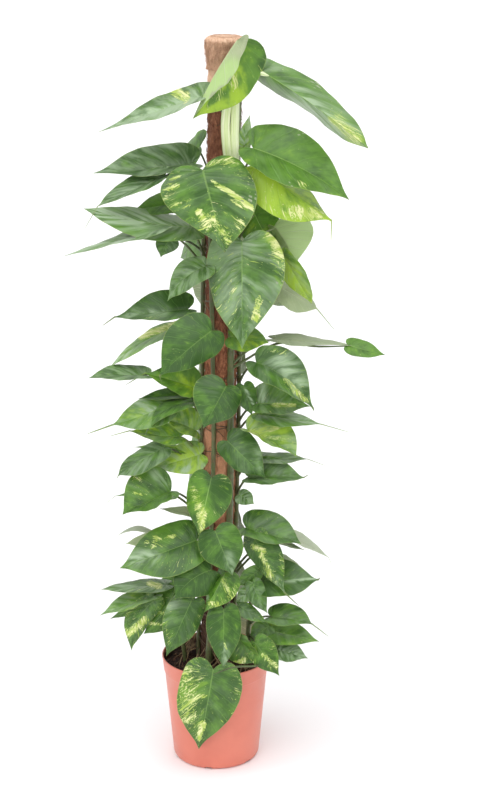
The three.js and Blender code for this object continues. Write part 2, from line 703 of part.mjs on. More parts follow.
// Two faces and a rim round one sheet of triangles
function thicken(points, faces) {
  const spots = [];
  for (const sign of [1, -1]) {
    for (const point of points) {
      const spot = point.place.clone().addScaledVector(point.face, (sign * BLADE) / 2);
      spots.push(spot.x, spot.y, spot.z);
    }
  }
  const count = points.length;
  const triangles = [];
  const edges = new Set();
  for (const [a, b, c] of faces) {
    triangles.push(a, b, c, a + count, c + count, b + count);
    for (const [from, to] of [[a, b], [b, c], [c, a]]) edges.add(`${from} ${to}`);
  }
  for (const edge of edges) {
    const [from, to] = edge.split(" ").map(Number);
    if (!edges.has(`${to} ${from}`)) triangles.push(to, from, from + count, to, from + count, to + count);
  }
  return new wasm.Manifold(new wasm.Mesh({
    numProp: 3,
    vertProperties: new Float32Array(spots),
    triVerts: new Uint32Array(triangles),
  }));
}

// A petiole from inside the stem to inside the blade, rising and then bending over
function makePetiole(leaf, curve) {
  const from = stemPoint(curve, leaf.base.z - leaf.drop * CM);
  const into = leafFrame(leaf).rib.getPoint(PETIOLE_SHARE);
  const radius = leaf.stalk ?? PETIOLE_RADIUS;
  if (leaf.via) {
    const path = new THREE.CatmullRomCurve3([from, ...leaf.via, into]);
    return tube(path, radius, leaf.stalk ? STEM_SIDES : PETIOLE_SIDES, 2 * PETIOLE_STEPS);
  }
  const span = from.distanceTo(into);
  const up = new THREE.Vector3(0, 0, 1);
  const bend = ({ share, lift }) => from.clone().lerp(into, share).addScaledVector(up, lift * span);
  const path = new THREE.CubicBezierCurve3(from, ...PETIOLE_BENDS.map(bend), into);
  return tube(path, radius, PETIOLE_SIDES, PETIOLE_STEPS);
}

// Leaves in millimetres, with the phase of their waves
let leafCount = 0;
function placed(row) {
  leafCount += 1;
  return {
    base: seen(row.base),
    tip: seen(row.tip),
    tail: row.tail && seen(row.tail),
    via: row.via && row.via.map(seen),
    half: row.half * CM,
    turn: row.turn,
    full: row.full ?? [0, 0],
    bow: row.bow,
    drop: row.drop,
    stalk: row.stalk,
    phase: PHASE_STEP * leafCount,
  };
}

// A leaf behind the pole, hanging out and back
function backLeaf([height, reach, angle, length, fall, fold]) {
  const turn = THREE.MathUtils.degToRad(angle);
  const slope = THREE.MathUtils.degToRad(fall);
  const outward = new THREE.Vector3(Math.cos(turn), Math.sin(turn), 0);
  const base = outward.clone().multiplyScalar(reach * CM);
  base.add(new THREE.Vector3(height * CM * Math.tan(LEAN), 0, height * CM));
  const tip = base.clone().addScaledVector(outward, length * CM * Math.cos(slope));
  tip.z -= length * CM * Math.sin(slope);
  leafCount += 1;
  const half = BACK_HALF * length * CM;
  const phase = PHASE_STEP * leafCount;
  return { base, tip, half, turn: [fold, -fold], full: [0, 0], drop: BACK_DROP, phase };
}

function makeVine(vine, leaves) {
  const curve = stemCurve(vine);
  const steps = vine.path ? SHOOT_STEPS : STEM_STEPS;
  let solid = tube(curve, vine.radius ?? STEM_RADIUS, STEM_SIDES, steps);
  for (const leaf of leaves) {
    solid = solid.add(makePetiole(leaf, curve));
    solid = solid.add(makeBlade(leaf));
  }
  add(plant, vine.name, geometryOf(whole(solid.asOriginal().simplify(SEAM))), LEAF_COLOUR, 0.4);
}

makePot();
makeSoil([...VINES, ...BACK_VINES]);
makePole();
for (const vine of VINES) makeVine(vine, vine.leaves.map(placed));
for (const vine of BACK_VINES) makeVine(vine, vine.leaves.map(backLeaf));

export default group;
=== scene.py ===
# Looks of the potted golden pothos: a leafy climber on a coir pole, in a round plastic pot.
import math

import bpy
import numpy as np
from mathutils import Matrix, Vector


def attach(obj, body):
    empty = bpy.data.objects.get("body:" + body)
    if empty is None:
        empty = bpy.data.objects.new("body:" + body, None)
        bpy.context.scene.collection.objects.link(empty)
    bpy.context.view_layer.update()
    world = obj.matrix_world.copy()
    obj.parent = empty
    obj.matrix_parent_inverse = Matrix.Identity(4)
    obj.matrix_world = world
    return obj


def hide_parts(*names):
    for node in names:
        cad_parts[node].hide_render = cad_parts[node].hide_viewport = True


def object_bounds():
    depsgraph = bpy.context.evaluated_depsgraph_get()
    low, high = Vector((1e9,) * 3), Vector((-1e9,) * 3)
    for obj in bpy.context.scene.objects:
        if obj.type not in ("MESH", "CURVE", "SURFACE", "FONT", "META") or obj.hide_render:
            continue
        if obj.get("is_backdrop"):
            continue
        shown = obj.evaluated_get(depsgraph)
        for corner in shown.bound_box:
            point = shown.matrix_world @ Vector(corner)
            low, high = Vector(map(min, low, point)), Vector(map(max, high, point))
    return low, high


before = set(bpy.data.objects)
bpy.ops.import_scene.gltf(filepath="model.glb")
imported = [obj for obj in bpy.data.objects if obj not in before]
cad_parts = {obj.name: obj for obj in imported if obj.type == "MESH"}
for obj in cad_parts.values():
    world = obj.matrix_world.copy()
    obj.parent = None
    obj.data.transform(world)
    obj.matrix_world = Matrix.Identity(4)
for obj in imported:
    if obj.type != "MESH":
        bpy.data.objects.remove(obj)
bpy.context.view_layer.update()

# The photograph's viewpoint: a standing person 3.9 m in front of the plant, looking down at it, with
# the whole height of the plant in an upright picture.
EYE = np.array([0.0695, -3.87, 2.005])
LOOKING_DOWN = math.radians(16.9)
camera_data = bpy.data.cameras.new("camera")
camera_data.lens = 85
camera_data.sensor_width = 36
camera = bpy.data.objects.new("camera", camera_data)
camera.location = EYE
camera.rotation_euler = (math.radians(90) - LOOKING_DOWN, 0, 0)
bpy.context.scene.collection.objects.link(camera)
bpy.context.scene.camera = camera
bpy.context.scene.view_settings.view_transform = "Standard"


# Pot: one thin shell of satin terracotta-coloured plastic, drawn in at the foot, with a plain band
# round the rim and six notches in the foot ring that let water out. It is injection moulded.
POT_HEIGHT = 0.240
RIM_RADIUS = 0.120
WALL_TOP_RADIUS = 0.114
BASE_RADIUS = 0.095
BAND_HEIGHT = 0.036
BAND_FOOT = POT_HEIGHT - BAND_HEIGHT
BAND_SPREAD = 0.115
WALL = 0.003
NOTCHES = 6
NOTCH_SIZE = (0.020, 0.016, 0.010)
FIRST_NOTCH = math.radians(-100)
POT_SIDES = 144
TERRACOTTA = (0.66, 0.178, 0.118)
TERRACOTTA_PALE = (0.72, 0.208, 0.140)
POT_DUST = (0.62, 0.34, 0.26)
# Painted shade for the pot's inside wall
POT_INSIDE_SHADE = (0.050, 0.017, 0.015)


class Finish:
    """A finish of this plant: its material, and plain words for the shader nodes that make its colour."""

    def __init__(self, name, **values):
        """Plain values are set on the shader's own sockets."""
        self.material = bpy.data.materials.new(name)
        self.material.use_nodes = True
        self.nodes = self.material.node_tree.nodes
        self.links = self.material.node_tree.links
        self.shader = self.nodes["Principled BSDF"]
        for socket, value in values.items():
            self.shader.inputs[socket.replace("_", " ")].default_value = value

    def node(self, kind, settings=None, **inputs):
        """A shader node; each input is a value, a colour or another node's output. inN is input N."""
        node = self.nodes.new("ShaderNode" + kind)
        for key, value in (settings or {}).items():
            setattr(node, key, value)
        for key, value in inputs.items():
            socket = node.inputs[int(key[2:])] if key[:2] == "in" else node.inputs[key]
            if isinstance(value, bpy.types.NodeSocket):
                self.links.new(value, socket)
            elif socket.type == "RGBA":
                socket.default_value = (*value, 1)
            else:
                socket.default_value = value
        return node

    def place(self):
        """A point's place on its object."""
        return self.node("TexCoord").outputs["Object"]

    def split(self, vector):
        """The three numbers of a place."""
        return self.node("SeparateXYZ", in0=vector).outputs

    def carried(self, name):
        """Three numbers that each corner of the mesh carries."""
        return self.split(self.node("Attribute", {"attribute_name": name}).outputs["Vector"])

    def joined(self, *numbers):
        return self.node("CombineXYZ", in0=numbers[0], in1=numbers[1], in2=numbers[2]).outputs[0]

    def maths(self, operation, *values):
        inputs = {f"in{i}": value for i, value in enumerate(values)}
        return self.node("Math", {"operation": operation}, **inputs).outputs[0]

    def plus(self, first, second):
        return self.maths("ADD", first, second)

    def minus(self, first, second):
        return self.maths("SUBTRACT", first, second)

    def times(self, first, second):
        return self.maths("MULTIPLY", first, second)

    def larger(self, first, second):
        return self.maths("MAXIMUM", first, second)

    def size(self, value):
        return self.maths("ABSOLUTE", value)

    def between(self, value, low, high, to_low=0.0, to_high=1.0):
        """A value carried smoothly from one range to another, and held at its ends."""
        settings = {"interpolation_type": "SMOOTHSTEP"}
        node = self.node("MapRange", settings, in0=value, in1=low, in2=high, in3=to_low, in4=to_high)
        return node.outputs[0]

    def mixed(self, share, first, second):
        """One colour going over to another."""
        return self.node("Mix", {"data_type": "RGBA"}, in0=share, in6=first, in7=second).outputs[2]

    def over(self, base, share, strength, colour):
        """A base colour with another laid over it, at some strength where its share is 1."""
        return self.mixed(self.times(share, strength), base, colour)

    def grain(self, place, scale, detail=3.0, roughness=0.6):
        """Random mottling from 0 to 1."""
        inputs = {"Vector": place, "Scale": scale, "Detail": detail, "Roughness": roughness}
        return self.node("TexNoise", **inputs).outputs[0]

    def stretched(self, place, scale, turn=(0, 0, 0)):
        """A place turned and scaled, so that a grain runs out along one way."""
        return self.node("Mapping", Vector=place, Rotation=turn, Scale=scale).outputs[0]

    def colour(self, colour):
        self.links.new(colour, self.shader.inputs["Base Color"])

    def roughness(self, roughness):
        self.links.new(roughness, self.shader.inputs["Roughness"])

    def relief(self, height, depth, strength=1.0):
        """Fine relief; depth is how far in metres the height's full range stands out."""
        bump = self.node("Bump", Height=height, Distance=depth, Strength=strength)
        self.links.new(bump.outputs[0], self.shader.inputs["Normal"])


def make_piece(name, points, faces, materials, slots=None, smooth=True):
    """An object of the plant from its points and faces."""
    mesh = bpy.data.meshes.new(name)
    mesh.from_pydata([tuple(p) for p in points], [], faces)
    for material in materials:
        mesh.materials.append(material)
    if slots is not None:
        mesh.polygons.foreach_set("material_index", slots)
    mesh.polygons.foreach_set("use_smooth", [smooth] * len(faces))
    mesh.update()
    piece = bpy.data.objects.new(name, mesh)
    bpy.context.scene.collection.objects.link(piece)
    return piece


def turned(profile, sides):
    """Points and faces of a profile of (radius, height) turned round the upright axis."""
    angles = np.arange(sides) * 2 * np.pi / sides
    points = []
    rings = []
    for radius, height in profile:
        if radius == 0:
            rings.append([len(points)] * sides)
            points.append((0, 0, height))
        else:
            rings.append(list(range(len(points), len(points) + sides)))
            points.extend((radius * math.cos(a), radius * math.sin(a), height) for a in angles)
    faces = []
    for low, high in zip(rings, rings[1:]):
        for i in range(sides):
            j = (i + 1) % sides
            ring = list(dict.fromkeys((low[i], low[j], high[j], high[i])))
            if len(ring) > 2:
                faces.append(ring)
    return np.array(points), faces


def wall_at(height, inset=0):
    """The pot's wall below its band at a height: its outer radius less an inset, and the height."""
    spread = (WALL_TOP_RADIUS - BASE_RADIUS) * height / BAND_FOOT
    return BASE_RADIUS + spread - inset, height


def make_pot_plastic():
    plastic = Finish("pot_plastic", Roughness=0.42, IOR=1.5, Coat_Weight=0.25, Coat_Roughness=0.35)
    place = plastic.place()
    cloud = plastic.between(plastic.grain(place, 9), 0.3, 0.7)
    colour = plastic.mixed(cloud, TERRACOTTA, TERRACOTTA_PALE)
    dust = plastic.between(plastic.grain(place, 160, 4), 0.62, 0.78)
    colour = plastic.over(colour, dust, 0.25, POT_DUST)
    # Painted shade on the inside wall above the soil: deep low down, fading out just below the rim
    x, y, z = plastic.split(place)
    away = plastic.maths("SQRT", plastic.plus(plastic.times(x, x), plastic.times(y, y)))
    rise = plastic.times(plastic.minus(z, BAND_FOOT + 0.002), BAND_SPREAD)
    band_face = plastic.plus(WALL_TOP_RADIUS + 0.0022, rise)
    inside = plastic.between(plastic.minus(band_face, away), 0.0014, 0.0022)
    inside_shade = plastic.between(plastic.plus(z, plastic.times(cloud, 0.004)), 0.241, 0.230, 0.1, 0.93)
    inside = plastic.times(inside, plastic.between(z, 0.208, 0.212))
    plastic.colour(plastic.over(colour, inside, inside_shade, POT_INSIDE_SHADE))
    plastic.roughness(plastic.between(plastic.grain(place, 35), 0.2, 0.8, 0.36, 0.5))
    plastic.relief(plastic.grain(place, 700, 2), 0.00012)
    return plastic.material


pot_profile = [
    (0, 0.0008), (0.080, 0.0008), (0.083, 0), (0.088, 0), (0.0905, 0.0005), (0.0925, 0.0020),
    (0.0942, 0.0045), wall_at(0.008), wall_at(0.05), wall_at(0.10), wall_at(0.15),
    wall_at(BAND_FOOT - 0.001),
    (WALL_TOP_RADIUS + 0.0006, BAND_FOOT + 0.0002), (WALL_TOP_RADIUS + 0.0017, BAND_FOOT + 0.0010),
    (WALL_TOP_RADIUS + 0.0021, BAND_FOOT + 0.0022), (RIM_RADIUS - 0.002, 0.224),
    (RIM_RADIUS - 0.0002, 0.2365), (RIM_RADIUS, 0.2382), (RIM_RADIUS - 0.0004, 0.2393),
    (RIM_RADIUS - 0.0013, 0.24), (RIM_RADIUS - 0.0022, 0.2398),
    (RIM_RADIUS - WALL, 0.239), (RIM_RADIUS - WALL - 0.0005, 0.236), (WALL_TOP_RADIUS - WALL, BAND_FOOT),
    wall_at(0.11, WALL), wall_at(0.010, WALL), (BASE_RADIUS - 0.010, 0.004), (0, 0.004),
]
pot_points, pot_faces = turned(pot_profile, POT_SIDES)
pot_plastic = make_pot_plastic()
pot = make_piece("moulded_pot", pot_points, pot_faces, [pot_plastic])
BOX_CORNERS = [(x, y, z) for z in (-1, 1) for x, y in ((-1, -1), (1, -1), (1, 1), (-1, 1))]
BOX_FACES = ((3, 2, 1, 0), (4, 5, 6, 7), (0, 1, 5, 4), (1, 2, 6, 5), (2, 3, 7, 6), (3, 0, 4, 7))
notch_points = []
notch_faces = []
for i in range(NOTCHES):
    angle = FIRST_NOTCH + i * 2 * math.pi / NOTCHES
    out = np.array([math.cos(angle), math.sin(angle), 0])
    across = np.array([-math.sin(angle), math.cos(angle), 0])
    start = len(notch_points)
    for corner in BOX_CORNERS:
        half = np.array(NOTCH_SIZE) * corner / 2
        notch_points.append(out * (BASE_RADIUS + half[0]) + across * half[1] + np.array([0, 0, half[2]]))
    notch_faces.extend([start + v for v in face] for face in BOX_FACES)
cutter = make_piece("notch_cutter", notch_points, notch_faces, [pot_plastic], smooth=False)
cut = pot.modifiers.new("notches", "BOOLEAN")
cut.operation = "DIFFERENCE"
cut.object = cutter
cut_mesh = bpy.data.meshes.new_from_object(pot.evaluated_get(bpy.context.evaluated_depsgraph_get()))
pot.modifiers.clear()
pot.data = cut_mesh
pot.data.set_sharp_from_angle(angle=math.radians(40))
bpy.data.objects.remove(cutter)
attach(pot, "root")
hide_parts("pot")


# Soil: dark, damp peat with clods, coir shreds and bark crumbs, mounded a little round the pole and
# pressed against the pot's wall all round.
SOIL_TOP = 0.221
SOIL_MOUND = 0.011
SOIL_EDGE = 0.1115
MOUND_REACH = [0, 0.055, 0.085, SOIL_EDGE]
MOUND_RISE = [SOIL_MOUND, SOIL_MOUND, 0.002, -0.004]
CLOD_SEED = 11
CLOD_SIZES = [(0.05, 0.002), (0.018, 0.0017), (0.007, 0.0010)]
SOIL_RINGS = 61
SOIL_SIDES = 180
SOIL_GAP = 0.0045
PEAT_DARK = (0.012, 0.006, 0.005)
PEAT_BROWN = (0.058, 0.024, 0.017)
PEAT_CRUMB = (0.15, 0.068, 0.042)


def rough_field(x, y, seed, sizes):
    """Smooth random heights at places on a plane, summed over rows of (size across, height) in metres."""
    random = np.random.default_rng(seed)
    total = np.zeros_like(x)
    for size, share in sizes:
        for _ in range(7):
            turn = random.uniform(0, 2 * np.pi)
            pace = 2 * np.pi / (size * random.uniform(0.7, 1.5))
            wave = np.sin(pace * (x * math.cos(turn) + y * math.sin(turn)) + random.uniform(0, 2 * np.pi))
            total += share * wave / 2.6
    return total


def mound_at(away):
    """The soil's height without its clods, at a distance from the pot's middle."""
    return SOIL_TOP + np.interp(away, MOUND_REACH, MOUND_RISE)


def upright(away, angle, height):
    """Places from a distance and an angle round the upright axis, and a height."""
    return np.stack([away * np.cos(angle), away * np.sin(angle), height], axis=-1)


def make_peat():
    peat = Finish("peat", Roughness=0.95)
    place = peat.place()
    clod = peat.between(peat.grain(place, 70, 5, 0.7), 0.35, 0.7)
    crumb = peat.between(peat.grain(place, 260, 3), 0.6, 0.7)
    peat.colour(peat.over(peat.mixed(clod, PEAT_DARK, PEAT_BROWN), crumb, 0.5, PEAT_CRUMB))
    peat.relief(peat.grain(place, 320, 5, 0.7), 0.0035)
    return peat.material


soil_angles = np.arange(SOIL_SIDES) * 2 * np.pi / SOIL_SIDES
ring_grid, angle_grid = np.meshgrid(np.linspace(0, SOIL_EDGE, SOIL_RINGS + 1), soil_angles, indexing="ij")
soil_top = upright(ring_grid, angle_grid, mound_at(ring_grid))
soil_top[..., 2] += rough_field(soil_top[..., 0], soil_top[..., 1], CLOD_SEED, CLOD_SIZES)
soil_sides = [wall_at(0.18, SOIL_GAP), wall_at(0.014, SOIL_GAP), (BASE_RADIUS - 0.014, 0.0052)]
soil_rings = [upright(radius, soil_angles, np.full(SOIL_SIDES, height)) for radius, height in soil_sides]
soil_points = np.concatenate([soil_top.reshape(-1, 3), *soil_rings])
soil_faces = []
for inner in range(0, len(soil_points) - SOIL_SIDES, SOIL_SIDES):
    outer = inner + SOIL_SIDES
    for a in range(SOIL_SIDES):
        b = (a + 1) % SOIL_SIDES
        soil_faces.append([inner + a, outer + a, outer + b, inner + b])
soil_faces.append(list(range(outer, outer + SOIL_SIDES))[::-1])
soil = make_piece("peat_soil", soil_points, soil_faces, [make_peat()])
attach(soil, "root")
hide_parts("soil")


# Shreds of bark and coir that lie on the soil, and dry clinging roots that come down from the pole and
# end on it. Both are loose fibres, curved and thinner at their ends.
SHREDS = 520
SHRED_REACH = 0.107
SHRED_STEPS = 6
DRY_ROOTS = 90
DRY_ROOT_STEPS = 9
BARK_DARK = (0.035, 0.015, 0.009)
BARK_BROWN = (0.22, 0.105, 0.055)
ROOT_DARK = (0.050, 0.034, 0.020)
ROOT_STRAW = (0.36, 0.25, 0.14)


def threads(lines, radius, sides=3):
    """Points and faces of many thin tubes; each row of lines holds one tube's points."""
    count, length, _ = lines.shape
    ahead = np.gradient(lines, axis=1)
    ahead /= np.linalg.norm(ahead, axis=2, keepdims=True) + 1e-12
    aside = np.cross(ahead, np.array([0.31, 0.17, 0.94]))
    aside /= np.linalg.norm(aside, axis=2, keepdims=True) + 1e-12
    other = np.cross(ahead, aside)
    taper = np.interp(np.linspace(0, 1, length), [0, 0.15, 0.8, 1], [0.7, 1, 0.8, 0.25])
    width = (radius[:, None] * taper[None, :])[:, :, None]
    rings = []
    for i in range(sides):
        angle = 2 * np.pi * i / sides
        rings.append(lines + width * (math.cos(angle) * aside + math.sin(angle) * other))
    points = np.stack(rings, axis=2).reshape(-1, 3)
    index = np.arange(count * length * sides).reshape(count, length, sides)
    faces = []
    for i in range(sides):
        j = (i + 1) % sides
        quad = np.stack([index[:, :-1, i], index[:, :-1, j], index[:, 1:, j], index[:, 1:, i]], axis=-1)
        faces.append(quad.reshape(-1, 4))
    faces = np.concatenate(faces).tolist()
    faces.extend(index[:, 0, ::-1].tolist())
    faces.extend(index[:, -1, :].tolist())
    return points, faces


def make_fibre(name, scale, detail, edges, dark, pale, roughness):
    """Dry fibre in two shades that go over to each other in clouds."""
    fibre = Finish(name, Roughness=roughness)
    fibre.colour(fibre.mixed(fibre.between(fibre.grain(fibre.place(), scale, detail), *edges), dark, pale))
    return fibre.material


random = np.random.default_rng(23)
each = (SHREDS, 1)
angle = random.uniform(0, 2 * np.pi, each)
ring = SHRED_REACH * np.sqrt(random.uniform(0.10, 1, each))
heading = random.uniform(0, 2 * np.pi, each)
length = random.uniform(0.006, 0.026, each)
bend = random.uniform(-0.5, 0.5, each)
share = np.linspace(-0.5, 0.5, SHRED_STEPS)
curl = bend * share ** 2 * length
shred_x = ring * np.cos(angle) + np.cos(heading) * share * length - np.sin(heading) * curl
shred_y = ring * np.sin(angle) + np.sin(heading) * share * length + np.cos(heading) * curl
inside = np.minimum(1, (SOIL_EDGE - 0.001) / np.maximum(np.hypot(shred_x, shred_y), 1e-6))
shred_x *= inside
shred_y *= inside
shred_z = mound_at(np.hypot(shred_x, shred_y)) + rough_field(shred_x, shred_y, CLOD_SEED, CLOD_SIZES)
shred_z += 0.0006 + random.uniform(0, 0.003, each) * (share + 0.5)
shred_radius = random.uniform(0.0003, 0.0010, SHREDS)
shred_points, shred_faces = threads(np.stack([shred_x, shred_y, shred_z], axis=-1), shred_radius)
bark = make_fibre("shredded_bark", 55, 3, (0.35, 0.65), BARK_DARK, BARK_BROWN, 0.9)
shreds = make_piece("soil_shreds", shred_points, shred_faces, [bark])
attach(shreds, "root")

random = np.random.default_rng(77)
each = (DRY_ROOTS, 1)
angle = random.uniform(0, 2 * np.pi, each)
start = random.uniform(0.040, 0.062, each)
end = random.uniform(0.068, 0.104, each)
turn = random.uniform(-0.9, 0.9, each)
rise = random.uniform(0.012, 0.055, each)
share = np.linspace(0, 1, DRY_ROOT_STEPS)
away = start + (end - start) * share
height = mound_at(away) + (0.001 + rise * (1 - share) ** 1.6)
root_radius = random.uniform(0.0006, 0.0015, DRY_ROOTS)
root_points, root_faces = threads(upright(away, angle + turn * share, height), root_radius, 5)
straw = make_fibre("dry_roots", 26, 2, (0.38, 0.62), ROOT_DARK, ROOT_STRAW, 0.8)
dry_roots = make_piece("soil_dry_roots", root_points, root_faces, [straw])
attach(dry_roots, "root")


# Pole: a round wooden stake wrapped in a mat of brown coconut fibre. The fibres cross each other on the
# slant and stand out as loose hairs; the mat is paler in a stretch low down and just under the cap, and
# darker higher up. Its foot is darkened with painted shade, where the lowest leaves crowd round it.
LEAN = math.radians(1.05)
POLE_X = -0.003
POLE_RADIUS = 0.034
POLE_FOOT = 0.012
STAKE_HOLE = 0.0134
SLEEVE_TOP = 1.560
SLEEVE_FLARE_FROM = 1.50
SLEEVE_FLARE = 0.0016
SLEEVE_SIDES = 108
SLEEVE_ROWS = 420
CAP_FOOT = 1.563
POLE_TOP = 1.600
CAP_RADIUS = 0.041
SLEEVE_COIR = ((0.22, 0.075, 0.038), (0.66, 0.270, 0.140), (0.88, 0.52, 0.33))
CAP_COIR = ((0.62, 0.37, 0.24), (0.94, 0.66, 0.47), (0.98, 0.84, 0.68))
LIGHT_STRETCH = (0.90, 0.47, 0.27)
SHADED_FOOT = (0.050, 0.028, 0.018)
DARKER_STRETCH = (0.13, 0.052, 0.032)
PALE_TOP = (0.84, 0.57, 0.39)
STAKE_DARK = (0.30, 0.17, 0.08)
STAKE_PALE = (0.48, 0.30, 0.16)


def lean(points):
    """The pole's own places carried over to where it stands and its slight lean."""
    moved = points.copy()
    moved[..., 0] = points[..., 0] * math.cos(LEAN) + points[..., 2] * math.sin(LEAN) + POLE_X
    moved[..., 2] = -points[..., 0] * math.sin(LEAN) + points[..., 2] * math.cos(LEAN)
    return moved


def make_coir(name, shades, banded):
    """Coconut fibre in dark, middle and pale; banded gives the sleeve its paler and darker stretches."""
    coir = Finish(name, Roughness=0.92)
    place = coir.place()
    one_way = coir.grain(coir.stretched(place, (260, 260, 60), (0.5, 0.5, 0)), 1, 4, 0.7)
    other_way = coir.grain(coir.stretched(place, (240, 240, 70), (-0.5, -0.6, 0.4)), 1, 4, 0.7)
    fibre = coir.larger(one_way, other_way)
    dark, middle, pale = shades
    colour = coir.mixed(coir.between(fibre, 0.42, 0.72), dark, middle)
    colour = coir.mixed(coir.between(fibre, 0.66, 0.82), colour, pale)
    if banded:
        # Heights in metres, made uneven by a coarse grain
        height = coir.plus(coir.split(place)[2], coir.times(coir.grain(place, 14), 0.10))
        light = coir.times(coir.between(height, 0.56, 0.68), coir.between(height, 0.88, 0.78))
        colour = coir.over(colour, light, 0.6, LIGHT_STRETCH)
        # Painted shade: the sleeve darkens towards its foot, among the lowest leaves and stems
        colour = coir.over(colour, coir.between(height, 0.54, 0.42), 0.85, SHADED_FOOT)
        # Darker from about 1.0 m to 1.5 m up
        upper_band = coir.times(coir.between(height, 0.98, 1.10), coir.between(height, 1.52, 1.50))
        colour = coir.over(colour, upper_band, 0.45, DARKER_STRETCH)
        colour = coir.over(colour, coir.between(height, 1.51, 1.56), 0.80, PALE_TOP)
    coir.colour(colour)
    coir.relief(fibre, 0.0020)
    return coir.material


stake_wood = Finish("stake_wood", Roughness=0.8)
stake_grain = stake_wood.grain(stake_wood.stretched(stake_wood.place(), (90, 90, 4)), 1, 4)
stake_wood.colour(stake_wood.mixed(stake_wood.between(stake_grain, 0.3, 0.7), STAKE_DARK, STAKE_PALE))
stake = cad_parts["pole_core"]
stake.data.materials.clear()
stake.data.materials.append(stake_wood.material)

sleeve_angle = np.arange(SLEEVE_SIDES) * 2 * np.pi / SLEEVE_SIDES
sleeve_height = np.linspace(POLE_FOOT, SLEEVE_TOP, SLEEVE_ROWS)
height_grid, angle_grid = np.meshgrid(sleeve_height, sleeve_angle, indexing="ij")
matted = rough_field(height_grid, angle_grid * POLE_RADIUS, 5, [(0.030, 0.0009), (0.011, 0.0008)])
wound = 0.0005 * np.sin(height_grid * 2 * np.pi / 0.022 + 2 * angle_grid)
wound = wound * np.sin(height_grid * 2 * np.pi / 0.025 - 3 * angle_grid)
flare = np.interp(height_grid, [SLEEVE_FLARE_FROM, SLEEVE_TOP], [0, SLEEVE_FLARE])
sleeve_outside = upright(POLE_RADIUS + matted + wound + flare, angle_grid, height_grid)
rims = [upright(STAKE_HOLE, sleeve_angle, np.full(SLEEVE_SIDES, z)) for z in (SLEEVE_TOP, POLE_FOOT)]
sleeve_points = np.concatenate([sleeve_outside.reshape(-1, 3), *rims])
sleeve_rows = [r * SLEEVE_SIDES for r in range(SLEEVE_ROWS + 2)] + [0]
sleeve_faces = []
for low, high in zip(sleeve_rows, sleeve_rows[1:]):
    for a in range(SLEEVE_SIDES):
        b = (a + 1) % SLEEVE_SIDES
        sleeve_faces.append([low + a, low + b, high + b, high + a])
sleeve_coir = make_coir("coir_mat", SLEEVE_COIR, True)
sleeve = make_piece("coir_wrap", lean(sleeve_points), sleeve_faces, [sleeve_coir])
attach(sleeve, "root")
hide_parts("coir_sleeve")


def coir_hairs(count, seed, low, high, radius_at, longest, stand):
    """Loose fibres that lie on the slant round the pole between two heights and arch away from it."""
    random = np.random.default_rng(seed)
    each = (count, 1)
    angle = random.uniform(0, 2 * np.pi, each)
    height = random.uniform(low, high, each)
    length = random.uniform(0.35, 1, each) * longest
    slope = random.choice([-1, 1], each) * random.uniform(0.25, 1.25, each)
    share = np.linspace(0, 1, 6)
    run = share * length
    z = np.clip(height + run * np.sin(slope), low, high)
    turn = angle + run * np.cos(slope) / POLE_RADIUS
    arch = np.sin(np.pi * share) * random.uniform(0.2, 1, each)
    loose = (random.uniform(0, 1, each) < 0.25) * share ** 2
    away = radius_at(z) + 0.0004 + stand * (arch + 1.3 * loose)
    return threads(lean(upright(away, turn, z)), random.uniform(0.00016, 0.00034, count))


hair_points, hair_faces = coir_hairs(2600, 31, 0.230, SLEEVE_TOP, lambda z: POLE_RADIUS, 0.050, 0.0035)
sleeve_hairs = make_piece("coir_wrap_hairs", hair_points, hair_faces, [sleeve_coir])
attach(sleeve_hairs, "root")


# Pole top: the end of a second, paler turn of the coir mat, folded over and frayed, that caps the pole.
# It hangs a little over the sleeve and bristles with loose fibre.
CAP_SIDES = 120
CAP_SKIRT = CAP_FOOT - 0.010
cap_profile = [
    (0, CAP_FOOT), (POLE_RADIUS + 0.0022, CAP_FOOT), (POLE_RADIUS + 0.0024, CAP_SKIRT),
    (POLE_RADIUS + 0.0032, CAP_SKIRT), (POLE_RADIUS + 0.0036, CAP_FOOT),
    (POLE_RADIUS + 0.0042, CAP_FOOT + 0.008),
    (CAP_RADIUS - 0.0022, CAP_FOOT + 0.015), (CAP_RADIUS - 0.0008, CAP_FOOT + 0.022),
    (CAP_RADIUS - 0.0006, CAP_FOOT + 0.028), (CAP_RADIUS - 0.0022, CAP_FOOT + 0.0325),
    (CAP_RADIUS - 0.006, CAP_FOOT + 0.0352), (CAP_RADIUS - 0.012, CAP_FOOT + 0.0362),
    (0.018, POLE_TOP - 0.0012), (0.010, POLE_TOP - 0.0020), (0, POLE_TOP - 0.0024),
]
cap_points, cap_faces = turned(cap_profile, CAP_SIDES)
cap_ring = np.hypot(cap_points[:, 0], cap_points[:, 1])
cap_turn = np.arctan2(cap_points[:, 1], cap_points[:, 0])
cap_swell = rough_field(cap_points[:, 2], cap_turn * CAP_RADIUS, 9, [(0.020, 0.0012), (0.008, 0.0008)])
cap_points[:, :2] *= (1 + cap_swell / np.maximum(cap_ring, 0.01))[:, None]
cap_fray = rough_field(cap_turn * CAP_RADIUS, 0 * cap_turn, 15, [(0.014, 0.0050), (0.005, 0.0030)])
cap_points[:, 2] += cap_fray * (cap_points[:, 2] < CAP_FOOT - 0.001)
cap_coir = make_coir("coir_new", CAP_COIR, False)
cap = make_piece("coir_end", lean(cap_points), cap_faces, [cap_coir])
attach(cap, "root")
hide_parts("coir_cap")


def cap_radius_at(z):
    heights = [CAP_FOOT - 0.012, CAP_FOOT, CAP_FOOT + 0.018, POLE_TOP - 0.010, POLE_TOP]
    radii = [POLE_RADIUS + 0.001, POLE_RADIUS + 0.003, CAP_RADIUS - 0.002, CAP_RADIUS - 0.001, 0.024]
    return np.interp(z, heights, radii)


hair_points, hair_faces = coir_hairs(1500, 47, CAP_FOOT - 0.030, POLE_TOP, cap_radius_at, 0.045, 0.0045)
cap_hairs = make_piece("coir_end_hairs", hair_points, hair_faces, [cap_coir])
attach(cap_hairs, "root")
